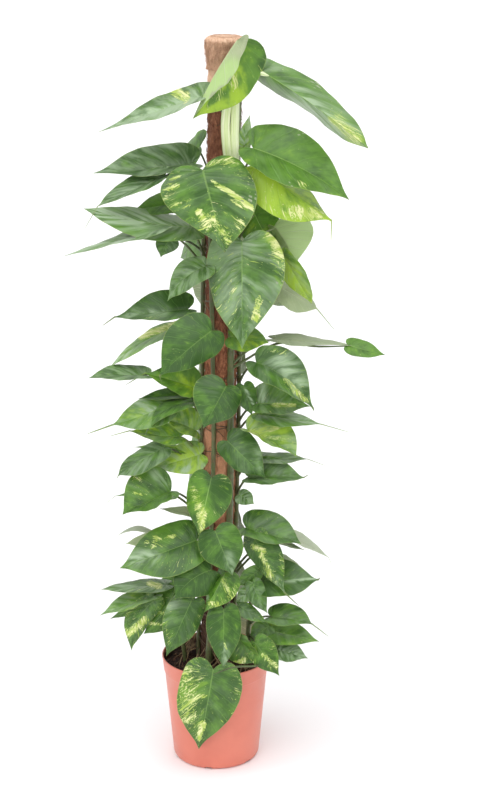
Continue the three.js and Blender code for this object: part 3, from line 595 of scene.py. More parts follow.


# Climbing vines and ground shoots: fleshy green stems tied close to the pole by their own roots. Each
# leaf stands on a long petiole that bends over at its end, and its heart-shaped blade is glossy above,
# with sunk side veins and lime to cream streaks along them, and matt grey-green below.
# A leaf row: base, tip, half width, the turn of each half about the midrib, drop of the petiole's foot,
# how light its green is, how much cream and how much grey sheen it has, and what is special about it.
# How light the green is holds the leaf's own green and also painted light: the leaves high up and the
# backlit ones were made lighter. The grey sheen, in the row and in its marks, is painted reflection.
# Places are [across, up, depth] in centimetres from the pole's foot, on the upright plane through it as
# the camera sees them: read off the photograph, then moved a little until the plant's outline fitted.
# A mark is: the tone that it changes, a line's two ends on that plane, its reach and the change.
GREEN, CREAM, SHEEN = range(3)
VINE_TALL_LEAVES = [
    ((5.4, 159, -7.5), (-3.8, 143.1, -9.5), 8.1, (-12, 110), 29, .38, .25, 0, {
        "bow": -0.5, "full": (0.3, 0), "stalk": 8, "via": ((4.7, 137, -5.4), (4.9, 150, -6)),
        "marks": (
            (GREEN, 10.5, 157.1, 10.5, 153.4, 3.4, -0.3), (GREEN, 4.8, 152.2, -0.5, 146.1, 4, 0.75),
            (CREAM, 4.4, 153, 5, 149.4, 1.3, 0.9), (CREAM, 2.8, 149.8, -1.7, 145.3, 2.5, 0.45),
            (GREEN, 4, 151, 2.8, 147.8, 0.7, -0.9), (GREEN, 1.9, 149.4, 0.7, 146.6, 0.6, -0.8),
            (GREEN, 0.3, 148.2, -0.7, 145.7, 0.5, -0.8), (GREEN, 5.6, 152.2, 5.4, 149.4, 0.5, -0.8),
        ),
    }),
    ((10.3, 152.7, -6), (32.1, 137.1, -8), 6.6, (-54, -72), 24, .25, .25, .32, {
        "bow": 0.6, "full": (0.8, 0.9), "tail": (31.3, 136, -8), "stalk": 8,
        "via": ((3.1, 137, -5.6), (3.3, 146, -6), (7, 153, -6.4)),
        "marks": (
            (CREAM, 24.9, 143.3, 29.9, 138.8, 1.5, 1.3), (GREEN, 24.9, 143.3, 29.9, 138.8, 2.1, 0.4),
            (SHEEN, 18.3, 147.4, 25.3, 141.2, 2.3, 0.5), (SHEEN, 12.9, 152.6, 29.4, 140.4, 1.3, 0.1),
        ),
    }),
    ((-1.5, 148, -6.6), (-23.3, 140.4, -8), 5.9, (78, -58), 8, .1, .35, .42, {
        "full": (-0.1, -0.4),
        "marks": ((CREAM, -7.8, 149, -5.4, 147.6, 1.3, 1.4), (SHEEN, -3.4, 147, -19.8, 141.2, 1.7, 0.6)),
    }),
    ((6.8, 137.3, -3.5), (7.9, 144, -3.5), 1.4, (20, -16), 4, .65, 0, .65, {"bow": 0.3}),
    ((8.5, 137.1, -5.6), (28.5, 126.3, -8), 7.2, (-21, 54), 9, .38, .05, .15, {
        "bow": 1, "full": (0.2, 0.2),
        "marks": (
            (CREAM, 17, 131.7, 19.3, 128.4, 0.8, 0.9), (CREAM, 19.2, 130.1, 22.6, 127.5, 0.8, 0.7),
            (GREEN, 15.1, 138.8, 21.3, 134.6, 3.8, -0.12),
        ),
    }),
    ((9.5, 133.5, -7.4), (24.9, 122, -9), 6.2, (-62, 6), 8, .88, .55, .1, {
        "bow": -0.3, "full": (0.2, 0.3), "tail": (24.8, 116.7, -9),
        "marks": (
            (CREAM, 16.8, 124, 22.2, 123.4, 1.3, 1.2), (GREEN, 8.9, 133, 12.6, 127.1, 2.9, 0.25),
            (CREAM, 8.9, 132.1, 11.4, 128, 1.7, 0.35), (GREEN, 16.4, 126.3, 21.4, 126.3, 2.5, -0.2),
        ),
    }),
    ((-1.9, 132.6, -12), (2.6, 115, -15), 9.6, (-12, -14), 10, .14, .55, .22, {
        "full": (0.4, -0.5),
        "marks": (
            (CREAM, 0.4, 130, 8.3, 124.8, 0.5, 1.5), (CREAM, 2.7, 127.1, 7.2, 124.2, 0.3, 1),
            (CREAM, -9.3, 128.4, -7, 129.2, 0.8, 1), (CREAM, -8.7, 130.5, -6.8, 131.3, 0.4, 0.9),
            (CREAM, -8.1, 124.8, -6.7, 126.1, 0.6, 1), (CREAM, -5.4, 125, -4, 126.5, 0.5, 0.9),
            (CREAM, -2.7, 123.8, -1.1, 120.4, 0.9, 0.7), (CREAM, -3.6, 124.2, -1.9, 122.5, 0.5, 0.7),
            (CREAM, 0, 122.9, 3.3, 117.8, 1.3, 0.75), (CREAM, 6.4, 122.1, 5.8, 120.6, 0.7, 1),
            (CREAM, -1, 133.7, 4, 135, 1.1, 0.6), (CREAM, 3.9, 133.8, 6, 132.6, 0.9, 0.5),
        ),
    }),
    ((12.9, 120.7, -2), (17.3, 112.3, -4), 6.6, (0, -70), 8, .95, .1, .2, {
        "bow": 0.6, "full": (0.3, 0), "under": True,
    }),
    ((8.7, 123.7, 1), (14.2, 115.7, 0), 4.5, (-16, 10), 8, .5, .05, 0, {"bow": -0.6, "full": (0.1, 0)}),
    ((6.2, 117.5, -9), (6.2, 94.1, -13), 8.9, (-8, -36), 9, .1, .62, .36, {
        "full": (-0.1, 0.1),
        "marks": (
            (SHEEN, 6.8, 117.4, 5.6, 104.9, 3.8, 0.25), (SHEEN, 11, 115.7, 13.1, 109.3, 2.5, 0.15),
            (CREAM, 12.3, 118.7, 14.8, 111.8, 1.2, 0.6), (CREAM, 9.8, 104.9, 8.9, 100.6, 0.8, 1.2),
            (GREEN, 11, 120, 14.4, 115.3, 1.5, 0.6), (CREAM, 12.3, 119.1, 15.2, 114.4, 0.8, 0.9),
        ),
    }),
    ((14.7, 114.8, -5), (20.9, 104.1, -6), 3.4, (52, -44), 10, .65, .5, .35, {
        "full": (0.7, 0.2),
        "marks": ((GREEN, 14.8, 112.3, 19.9, 104.9, 1.5, 0.4), (CREAM, 14.8, 112.3, 19.9, 104.9, 1.3, 0.4)),
    }),
    ((14.2, 107.7, -3), (22.1, 103, -5), 3.9, (-58, 38), 8, .6, .1, .15, {
        "full": (0.6, 0.6), "tail": (25.9, 98.3, -5), "under": True,
    }),
    ((13.2, 96.4, -4), (30.5, 94.9, -7), 4.2, (-71, 78), 6, .25, .25, .3, {
        "full": (0, -0.4), "under": True,
    }),
    ((28.8, 95, -7), (36.7, 92.9, -8), 2.4, (-34, 40), 6, .3, .2, .1, {
        "via": ((14, 95.5, -5), (22, 94.8, -6.5)),
    }),
    ((3.8, 97, -5.6), (11.9, 95.6, -7.5), 3.5, (-40, 36), 5, .55, .2, .2, {"bow": 0.1, "full": (0.4, 0.2)}),
]
VINE_FRONT_LEAVES = [
    ((-0.3, 98.2, -11.6), (-11.4, 88.2, -14), 6.2, (-44, -8), 8, 0, .04, .05, {
        "bow": -0.3, "full": (0, 0.2), "tail": (-10.9, 86.8, -14),
    }),
    ((2.8, 86, -11), (-2.2, 76.5, -14), 5.9, (-40, -4), 8, 0, .05, .12, {}),
    ((-0.5, 65.2, -9.8), (-3.4, 52, -12), 5.2, (-12, -28), 8.8, 0, .58, 0, {
        "full": (0.1, 0.1),
        "marks": (
            (CREAM, -4.4, 62.5, -2.6, 57.1, 1.8, 0.55), (GREEN, -4.4, 63.3, -1.9, 57.5, 3, 0.5),
            (GREEN, 0, 65.5, 3.2, 63.3, 1.8, -0.35), (CREAM, -2.6, 56.7, -2.7, 53.2, 0.9, 0.9),
        ),
    }),
    ((0.3, 53, -11.2), (4.1, 42.5, -14.6), 4.9, (-10, -16), 7, 0, 0, 0, {
        "full": (0.2, 0), "marks": ((SHEEN, 3.2, 47.3, 4.2, 43.4, 1.3, 0.45),),
    }),
    ((-1.3, 112.3, -6), (-9.5, 104.7, -8), 3.5, (39, -23), 5, .15, .1, .45, {"bow": -1.1, "full": (0.2, 0)}),
]
VINE_LEFT_LEAVES = [
    ((-4.2, 133.9, -2.6), (-24.6, 131.9, -5), 5.6, (76, -28), 8, 0, .05, .45, {
        "bow": 0.3, "full": (-0.2, 0.1),
    }),
    ((-9.8, 131.5, -7), (-23.7, 125, -9), 3.5, (74, -43), 9, 0, .1, .5, {
        "full": (0.2, 0.6), "tail": (-26.7, 120, -9),
    }),
    ((-6.8, 125.7, -3), (-16.4, 124.2, -3), 3.4, (54, -33), 6, .25, 0, 0, {}),
    ((-3.9, 120.5, -6), (-26.7, 124.5, -8), 4.8, (46, -58), 7, .25, .15, .45, {
        "bow": 0.6, "full": (0.5, 0.6),
        "marks": ((SHEEN, -23.1, 123.1, -14.8, 121.6, 1.1, 0.9), (SHEEN, -11.9, 122.7, -4, 121.6, 1, 0.9)),
    }),
    ((-10.5, 120.3, -8), (-31.1, 114.4, -10), 4.6, (80, -74), 10, .2, .1, .75, {"full": (-0.2, 0)}),
    ((-8.7, 118.1, -5), (-10.8, 114.1, -5.5), 2.4, (-13, -21), 4, 0, 0, .25, {
        "bow": -0.3, "full": (-0.2, 0.2),
    }),
    ((-5.2, 103, -4.6), (-20.7, 101.2, -7), 4.9, (70, -22), 7, 0, 0, .1, {
        "full": (0.4, 0), "tail": (-23.4, 99.3, -7),
        "marks": (
            (SHEEN, -10.1, 102.4, -18.2, 101.7, 1.2, 0.5), (CREAM, -13.6, 101.1, -11.1, 101.7, 0.8, 0.8),
            (GREEN, -12.8, 104.9, -6.5, 104.9, 1.6, -0.15),
        ),
    }),
    ((-7.8, 99, -4), (-22.3, 89.8, -7), 3.7, (66, -63), 8, .5, .45, .4, {
        "bow": -1, "full": (0.1, -0.1),
        "marks": (
            (CREAM, -15.1, 97, -7.8, 99.7, 0.8, 1.7), (GREEN, -15.1, 97, -7.8, 99.7, 0.8, 0.15),
            (GREEN, -16.5, 95.1, -10.1, 97, 0.6, -0.3), (SHEEN, -21.2, 91.4, -18, 93.7, 1.1, 0.6),
        ),
    }),
    ((-14.2, 88.4, -8), (-26.6, 87.8, -10), 3.3, (73, -46), 8, .1, .22, .45, {
        "bow": -0.3, "full": (0.2, 0.5),
    }),
    ((-4, 85.8, -7), (-14.5, 88.9, -8.5), 4.5, (58, -11), 7, .4, .15, 0, {
        "bow": -0.1, "full": (0.1, -0.1), "tail": (-18.8, 86.2, -8.5),
        "marks": ((GREEN, -7.4, 88.9, -3.9, 85.2, 1.8, 0.4), (GREEN, -12.4, 89.6, -6, 89.8, 0.6, -0.3)),
    }),
    ((-5.8, 84.2, -5), (-16.1, 83.2, -6), 2.4, (70, -38), 7, .05, .05, 0, {}),
    ((-4.3, 82.5, -8), (-14.8, 74.8, -11), 2.7, (56, -53), 7, .15, .05, .2, {"bow": -2}),
    ((-9.3, 82, -6.5), (-21.8, 77.3, -9), 4.2, (36, -30), 8, .4, .35, .35, {
        "bow": 0.3, "full": (0.1, 0.2), "tail": (-27.4, 75.2, -9),
        "marks": ((GREEN, -18.2, 79.6, -14.6, 79.2, 2.1, 0.15), (SHEEN, -15.7, 82.2, -12.5, 79.9, 1.2, 0.7)),
    }),
    ((-3.6, 76, -5), (-11, 78.7, -6), 4.4, (65, -10), 6, .65, .15, .35, {"bow": -0.3}),
    ((-7.1, 74.7, -6), (-18, 76, -8), 3.1, (57, -24), 7, .6, .05, .3, {
        "bow": 0.3, "full": (0, 0.2), "tail": (-22.3, 74.8, -8),
    }),
    ((-10.7, 72.3, -7), (-20.7, 65.8, -9), 3.1, (31, -41), 8, .05, .1, .35, {
        "bow": -0.1, "full": (0.5, 0.8), "tail": (-20.9, 65.1, -9),
    }),
    ((-6.2, 71.6, -3.2), (-17.2, 72.3, -4), 1.5, (50, -50), 7, .52, .3, 0, {"bow": -0.3, "full": (0.1, 0)}),
    ((-2.7, 70.7, -4), (-13.6, 67.4, -5), 3.8, (26, -20), 6, .8, .3, .5, {
        "bow": 0.1, "full": (-0.3, -0.1), "marks": ((SHEEN, -10.9, 67.1, -5.5, 67.3, 0.6, 0.6),),
    }),
    ((-9.3, 62.2, -8), (-19.9, 56.8, -11), 7, (74, -2), 8, .2, .35, .2, {
        "full": (-0.2, 0.5),
        "marks": (
            (CREAM, -17.2, 65.2, -15.8, 65.2, 0.5, 1.4), (CREAM, -17.6, 61.6, -14.7, 61.6, 0.4, 1.3),
            (SHEEN, -12.7, 66.3, -10.5, 64, 1.1, 0.4),
        ),
    }),
    ((-12, 62.4, -5), (-21.4, 61.1, -6), 2, (70, -63), 8, .3, .1, 0, {
        "full": (0, 0.2), "tail": (-23.4, 59.4, -6),
    }),
    ((-4, 56.9, -6), (-11.8, 58.2, -8), 2.3, (70, -56), 6, .6, .1, .05, {
        "full": (0.1, -0.2), "under": True,
    }),
    ((-3.8, 50.8, -8), (-20.8, 44.2, -11), 5.9, (18, -16), 7, .15, .45, .1, {
        "full": (0.2, 0.2),
        "marks": (
            (CREAM, -15.1, 50.3, -8.5, 51.8, 0.5, 1.1), (CREAM, -14, 49.1, -11.5, 49.5, 0.4, 1),
            (CREAM, -13.3, 51.6, -10.3, 52.8, 0.4, 0.9), (GREEN, -16.9, 51.3, -10.7, 54, 1.4, 0.15),
            (GREEN, -8.5, 48.7, -5.6, 49.1, 1.6, -0.35), (SHEEN, -18.1, 46.2, -13.7, 47.3, 2.1, 0.6),
        ),
    }),
    ((-13.4, 52.7, -6), (-21, 51.9, -7), 1.5, (60, -70), 8, .4, .1, .85, {
        "bow": -1.2, "full": (0, 0.2), "under": True,
    }),
    ((-13.8, 51.5, -3), (-19.4, 50, -4), 1.9, (50, -53), 8, .6, .1, 0, {"full": (0.2, -0.2), "under": True}),
]
VINE_RIGHT_LEAVES = [
    ((9.2, 91.3, -9), (21.4, 81, -12), 5.5, (-6, 57), 7, 0, .28, .25, {
        "bow": 1.3, "full": (0, 0.1), "tail": (21.6, 80.5, -12),
        "marks": (
            (SHEEN, 14.6, 91.4, 17.5, 86.6, 2.8, 0.45), (CREAM, 15.4, 87.4, 20, 82.7, 0.9, 1.1),
            (CREAM, 11.8, 93.7, 15.3, 93.3, 0.7, 0.6),
        ),
    }),
    ((9.5, 82.2, -6), (20.9, 81.5, -7), 5, (-15, 64), 6, .25, .3, .3, {
        "full": (-0.1, 0),
        "marks": ((CREAM, 12.9, 81.8, 17.4, 81.8, 0.6, 1.6), (SHEEN, 10.4, 85.9, 10.7, 83.3, 1.1, 0.5)),
    }),
    ((9.8, 79.7, -7), (23.2, 77.5, -9), 3.5, (-56, 59), 6, .35, .15, .35, {
        "full": (0.2, 0.2), "tail": (29.2, 75.7, -9), "marks": ((SHEEN, 17.2, 79.2, 21.5, 78.1, 0.9, 0.5),),
    }),
    ((6.5, 86.2, -5.6), (8.3, 79.5, -7), 2.4, (-16, -20), 4, .05, .1, .15, {
        "full": (0.1, 0.2), "marks": ((SHEEN, 7, 85.2, 9, 81.4, 0.3, 1),),
    }),
    ((7.3, 76.2, -7.5), (17.9, 70.2, -10), 5.3, (-8, 83), 7, .7, .32, .4, {
        "bow": 0.3, "full": (0.8, 0.2),
        "marks": ((CREAM, 7.9, 75.8, 13.6, 76.9, 0.9, 1.1), (CREAM, 8.6, 75, 16.5, 73.9, 0.9, 0.9)),
    }),
    ((3, 73.7, -8.5), (11.4, 65.1, -11), 4.7, (-15, -42), 7, 0, .05, .2, {
        "marks": ((GREEN, 4.7, 73.9, 7.5, 73.2, 2.1, -0.15), (SHEEN, 9.7, 72, 10.4, 67.8, 0.9, 0.3)),
    }),
    ((10.2, 70, -5), (20.3, 69.6, -6.5), 2.9, (-60, 67), 6, .15, .2, .45, {
        "bow": -0.3, "full": (0.5, -0.2), "tail": (24.2, 68.1, -6.5),
    }),
    ((7.7, 65.3, -7), (19.6, 65.3, -9), 4.5, (-16, 70), 6, .15, .05, .35, {
        "bow": 0.3, "full": (0.2, 0.7), "tail": (20.6, 66, -9),
        "marks": ((CREAM, 17.8, 64.8, 19.1, 64.2, 0.5, 1),),
    }),
    ((5.5, 61.4, -6), (8.8, 59.2, -7), 2, (-26, 26), 4, .15, .1, .5, {"bow": 0.1, "full": (0.2, 0)}),
    ((7, 53.8, -6), (19.2, 50, -9), 5, (-10, 66), 7, .15, .15, .25, {"full": (0.4, 0)}),
    ((16.5, 52, -3), (25.2, 46.8, -4), 2.6, (-50, 76), 10, .45, .1, .8, {
        "tail": (26, 44.6, -4), "under": True,
    }),
    ((12.8, 50.8, -4), (20, 48.5, -5), 1.6, (-63, 74), 8, .3, .1, 0, {"full": (0.1, 0.2), "under": True}),
    ((8.7, 51.4, -8.6), (15.6, 38.3, -12), 4.1, (-10, -46), 8, 0, .66, .15, {
        "full": (0, -0.1), "tail": (18.8, 35.2, -12),
        "marks": (
            (CREAM, 8.6, 49.3, 10.8, 48.5, 0.6, 1.3), (CREAM, 10.5, 47.3, 12.7, 42.2, 0.7, 0.8),
            (SHEEN, 13.4, 41.8, 15.3, 39.1, 0.8, 0.4),
        ),
    }),
    ((15.2, 47, -3), (19.2, 44.5, -3), 1.4, (-66, 66), 8, .3, .1, 0, {"under": True}),
]
SHOOT_LEFT_LEAVES = [
    ((-10.6, 40.4, -6), (-25, 39.2, -8), 3.1, (61, -62), 8, 0, .4, .5, {
        "full": (0.2, 0.5), "marks": ((CREAM, -14.2, 40.6, -12, 39.9, 0.8, 1.6),),
    }),
    ((-12.8, 38, -7), (-25.4, 33, -9), 3.8, (74, -42), 6, .45, .2, .4, {"full": (0, 0.2)}),
    ((-15.8, 36.3, -4), (-23.1, 32.2, -4), 2.2, (54, -58), 5, .24, .1, 0, {"bow": 0.1, "full": (0, 0.2)}),
    ((-8.9, 38.4, -7), (-15.8, 28.5, -8.5), 3.7, (-13, -27), 5, .18, .3, 0, {
        "bow": 0.6, "full": (0.5, 0),
        "marks": ((CREAM, -13.9, 33.9, -11.3, 33.5, 0.6, 1.1), (CREAM, -14.3, 31.1, -11.7, 30.7, 0.6, 1.1)),
    }),
    ((-13.3, 36.5, -9), (-18.5, 24.4, -10.5), 3.1, (-26, -20), 6, .1, .72, .2, {
        "bow": -1.6, "full": (0.2, 0.2), "marks": ((CREAM, -19.1, 28.7, -15.4, 31.9, 0.8, 1.2),),
    }),
    ((-5, 36.5, -10), (-10.8, 23.1, -13), 4.4, (-30, -10), 6, 0, .45, .15, {
        "full": (0.1, 0.1),
        "marks": (
            (CREAM, -11, 31.9, -10.3, 27.5, 0.8, 0.6), (SHEEN, -9, 37.1, -10.6, 33.5, 1.8, 0.35),
            (GREEN, -5.8, 33.5, -7.3, 29.5, 1.4, -0.2),
        ),
    }),
]
SHOOT_FRONT_LEAVES = [
    ((-0.7, 43.8, -10), (-8.7, 36.8, -13), 5.4, (-30, -5), 4, 0, .02, 0, {"bow": -1, "full": (0.1, 0.2)}),
    ((2.5, 43.2, -9.5), (-2.2, 33.7, -13), 4.3, (-4, -62), 5, .2, .6, 0, {
        "marks": ((CREAM, 2, 41.4, 3.9, 37.1, 1.1, 0.6), (CREAM, -0.9, 35.9, 0.9, 35.5, 0.7, 0.9)),
    }),
    ((2.1, 34.4, -11.5), (2, 19.8, -14), 3.9, (-12, -15), 5, 0, .2, 0, {
        "marks": ((SHEEN, 2.3, 25.4, 2.7, 21.4, 1.1, 0.6), (CREAM, 2.2, 26.2, 2.7, 24.8, 0.3, 1.5)),
    }),
    ((5.3, 35.4, -9), (11.8, 31.3, -11), 1.8, (-30, 16), 5, 0, .6, .2, {"full": (0, 0.2)}),
]
SHOOT_RIGHT_LEAVES = [
    ((10.3, 41.4, -6), (23, 41.5, -8), 4.8, (-12, 40), 4, 0, .05, .2, {
        "full": (0.1, 0.4), "tail": (23.4, 42, -8), "marks": ((SHEEN, 15.3, 41, 22.2, 41.8, 0.3, 1),),
    }),
    ((9.7, 43.6, -7), (5.2, 40, -8), 2, (-20, 16), 3, .2, .05, .2, {"full": (0, 0.3)}),
    ((8.5, 40.8, -9), (11.8, 33.5, -10), 2.2, (-10, -20), 4, .1, 0, .3, {"bow": -0.3, "full": (0, 0.2)}),
    ((8.7, 39.3, -8), (4.8, 36.2, -8.5), 1.9, (-13, 16), 4, .15, .6, .45, {"bow": -0.1, "full": (0.2, 0.2)}),
    ((12.5, 32.6, -7.5), (21.7, 30.9, -10), 3.5, (-20, 61), 3, .15, .2, .25, {
        "bow": 0.3, "full": (0.6, 0), "tail": (25.4, 27.9, -10),
    }),
    ((12.6, 29.3, -6), (23.4, 26.7, -8), 3.5, (-27, 42), 3, .35, .3, .2, {"full": (0, -0.2)}),
    ((13.7, 24.8, -8.5), (20.9, 22.6, -10), 2.8, (-16, 40), 1, 0, .1, .5, {"full": (0.2, -0.1)}),
    ((9, 26.5, -11.5), (14.5, 18.3, -12.5), 3.3, (-10, -20), 2, .1, .72, .05, {
        "marks": ((CREAM, 10.9, 23.4, 13.9, 20.6, 0.7, 0.6),),
    }),
    ((12.1, 30.4, -7), (8, 26.2, -8.5), 2.4, (-20, -10), 4, .25, .05, .25, {"bow": -0.3, "full": (0, 0.1)}),
    ((5.2, 27.6, -9.6), (10.1, 21.4, -10.8), 4.6, (70, -16), 3, .15, .3, .15, {
        "bow": -0.1, "full": (0, 0.1), "marks": ((CREAM, 3.4, 21, 6.8, 22.2, 0.8, 1.4),),
    }),
    ((-0.3, 19.9, -13.5), (-3.7, 0.1, -12), 7, (-8, -10), 0, .1, .76, .15, {
        "bow": 0.1, "full": (-0.1, 0.3), "via": ((9.8, 21, -12), (4, 20.4, -13.5)),
        "marks": (
            (CREAM, -6.6, 19.3, -6, 7.8, 2.8, 0.45), (CREAM, 2.3, 17.3, 1.5, 11.1, 2.6, -0.55),
            (CREAM, -2.6, 6.6, -3.6, 2.9, 0.5, 1.6), (CREAM, -6, 12, -1.8, 13.6, 0.4, 0.7),
            (GREEN, -5.9, 21.8, -3.6, 19.8, 1.8, -0.3),
        ),
    }),
]

# A climb is a stem's heights and its angles round the pole in degrees, a path is a shoot's own places
# from the pole's foot, and a radius is in millimetres.
VINES = {
    "vine_tall": {
        "climb": ((23.5, -62), (60, -55), (100, -60), (135, -52), (150, -48)),
        "radius": 7.5, "leaves": VINE_TALL_LEAVES,
    },
    "vine_front": {
        "climb": ((23.5, -108), (50, -112), (75, -108), (100, -118), (121, -130)),
        "leaves": VINE_FRONT_LEAVES,
    },
    "vine_left": {
        "climb": ((23.5, 178), (50, 186), (75, 194), (100, 184), (132, 190)),
        "leaves": VINE_LEFT_LEAVES,
    },
    "vine_right": {
        "climb": ((23.5, -8), (50, -14), (75, -6), (96, -12)),
        "leaves": VINE_RIGHT_LEAVES,
    },
    "shoot_left": {
        "path": ((-6.5, -1.5, 22.8), (-7, -2, 27), (-8.6, -3, 32), (-10.4, -4, 37)),
        "leaves": SHOOT_LEFT_LEAVES,
    },
    "shoot_front": {
        "path": ((-1.5, -7.3, 22.8), (-1.3, -7.6, 28), (-0.6, -8, 36), (0, -8.2, 42)),
        "leaves": SHOOT_FRONT_LEAVES,
    },
    "shoot_right": {
        "path": ((7, -4.5, 22.8), (7.2, -4.7, 27), (7.8, -5, 35), (8.6, -5, 43)),
        "leaves": SHOOT_RIGHT_LEAVES,
    },
}

# Behind the pole, a leaf row is: height, reach and angle round the pole, length, fall, fold, green, cream
BACK_VINES = {
    "vine_back_left": {
        "climb": ((23.5, 128), (60, 136), (100, 124), (138, 132)),
        "leaves": [
            (37.5, 7.6, 152, 16.5, 36, 24, .1, .1),
            (56.2, 8.9, 106, 18.2, 59, 60, .15, .2),
            (70.3, 9.4, 111, 16.8, 49, 60, .12, .05),
            (90.1, 8.3, 103, 18.2, 46, 56, .2, .3),
            (107.8, 8.5, 100, 17.4, 44, 33, .15, .1),
            (117.6, 7.7, 121, 12.8, 34, 42, .25, .1),
            (136.3, 8.7, 126, 15.3, 29, 60, .1, .05),
        ],
    },
    "vine_back_right": {
        "climb": ((23.5, 48), (60, 40), (100, 54), (126, 46)),
        "leaves": [
            (31.4, 11.2, 79, 18.5, 54, 21, .1, .1),
            (44.5, 9, 75, 15.1, 58, 61, .2, .25),
            (59.5, 7.9, 81, 17.8, 52, 64, .1, .05),
            (78.9, 8.1, 82, 13.9, 45, 64, .25, .1),
            (94.9, 8.8, 78, 14.5, 53, 61, .2, .3),
            (107.4, 12, 42, 14.9, 33, 38, .15, .1),
            (123.5, 10, 64, 17.8, 57, 39, .3, .15),
        ],
    },
}

CM = 0.01
MM = 0.001
LEAF_DEEP = (0.030, 0.092, 0.009)
LEAF_GREEN = (0.108, 0.252, 0.024)
LEAF_LIME = (0.370, 0.570, 0.035)
# Painted reflection on the upper face
LEAF_PAINTED_SHEEN = (0.36, 0.49, 0.30)
STREAK_LIME = (0.42, 0.56, 0.090)
STREAK_CREAM = (0.78, 0.80, 0.38)
STREAK_EDGE = (0.24, 0.44, 0.035)
VEIN_GREEN = (0.19, 0.38, 0.070)
FINE_VEIN_GREEN = (0.16, 0.34, 0.060)
MIDRIB_GREEN = (0.30, 0.48, 0.120)
LEAF_EDGE = (0.36, 0.46, 0.12)
DRIP_TIP = (0.30, 0.34, 0.12)
UNDER_DEEP = ((0.150, 0.215, 0.090), (0.200, 0.270, 0.115))
UNDER_FRESH = ((0.310, 0.390, 0.200), (0.400, 0.470, 0.260))
UNDER_LIME = (0.42, 0.60, 0.22)
UNDER_GREY_AND_SHEEN = (0.50, 0.54, 0.47)
UNDER_FINE_VEIN = (0.46, 0.52, 0.34)
UNDER_VEIN = (0.52, 0.58, 0.38)
UNDER_MIDRIB = (0.50, 0.58, 0.32)
STALK_SHADED = ((0.028, 0.040, 0.016), (0.075, 0.105, 0.036))
STALK_OLIVE = ((0.110, 0.150, 0.050), (0.190, 0.240, 0.085))
STALK_CREAM = ((0.600, 0.730, 0.310), (0.900, 0.950, 0.670))
STALK_BARK = ((0.090, 0.045, 0.025), (0.230, 0.140, 0.080))


class BladeFinish(Finish):
    """A leaf's face; its veins follow the place on the blade that each corner of the mesh carries."""

    def __init__(self, name, roughness):
        super().__init__(name, Roughness=roughness, IOR=1.45)
        self.along, self.across, self.seed = self.carried("leaf_place")
        self.green, self.cream, self.sheen = self.carried("leaf_tone")
        self.half = self.size(self.across)
        self.spot = self.place()
        # Side veins: eight on each half, offset from the other half's
        flat = self.joined(self.times(self.along, 6), self.times(self.across, 1.8), self.seed)
        drift = self.times(self.grain(flat, 1, 2), 0.5)
        offset = self.times(self.maths("GREATER_THAN", self.across, 0), 0.45)
        self.phase = self.plus(self.plus(self.times(self.along, 8.6), drift), offset)
        self.vein = self.between(self.from_line(self.phase), 0.060, 0.0)
        self.fine = self.between(self.from_line(self.times(self.phase, 5)), 0.25, 0.0)
        self.midrib = self.between(self.half, 0.030, 0.009)
        self.cloud = self.between(self.grain(self.spot, 30, 3), 0.3, 0.7)
        self.brush = self.brushed(1.1, 1.6, 7)

    def from_line(self, phase):
        """How far a phase is from the nearest vein's middle, from 0 to 0.5."""
        return self.size(self.minus(self.maths("FRACT", phase), 0.5))

    def brushed(self, pace, spread, shift, detail=3.0, roughness=0.55):
        """Mottling that runs out from the midrib: its pace along the blade, its spread across it."""
        along = self.times(self.phase, pace)
        across = self.times(self.across, spread)
        return self.grain(self.joined(along, across, self.times(self.seed, shift)), 1, detail, roughness)


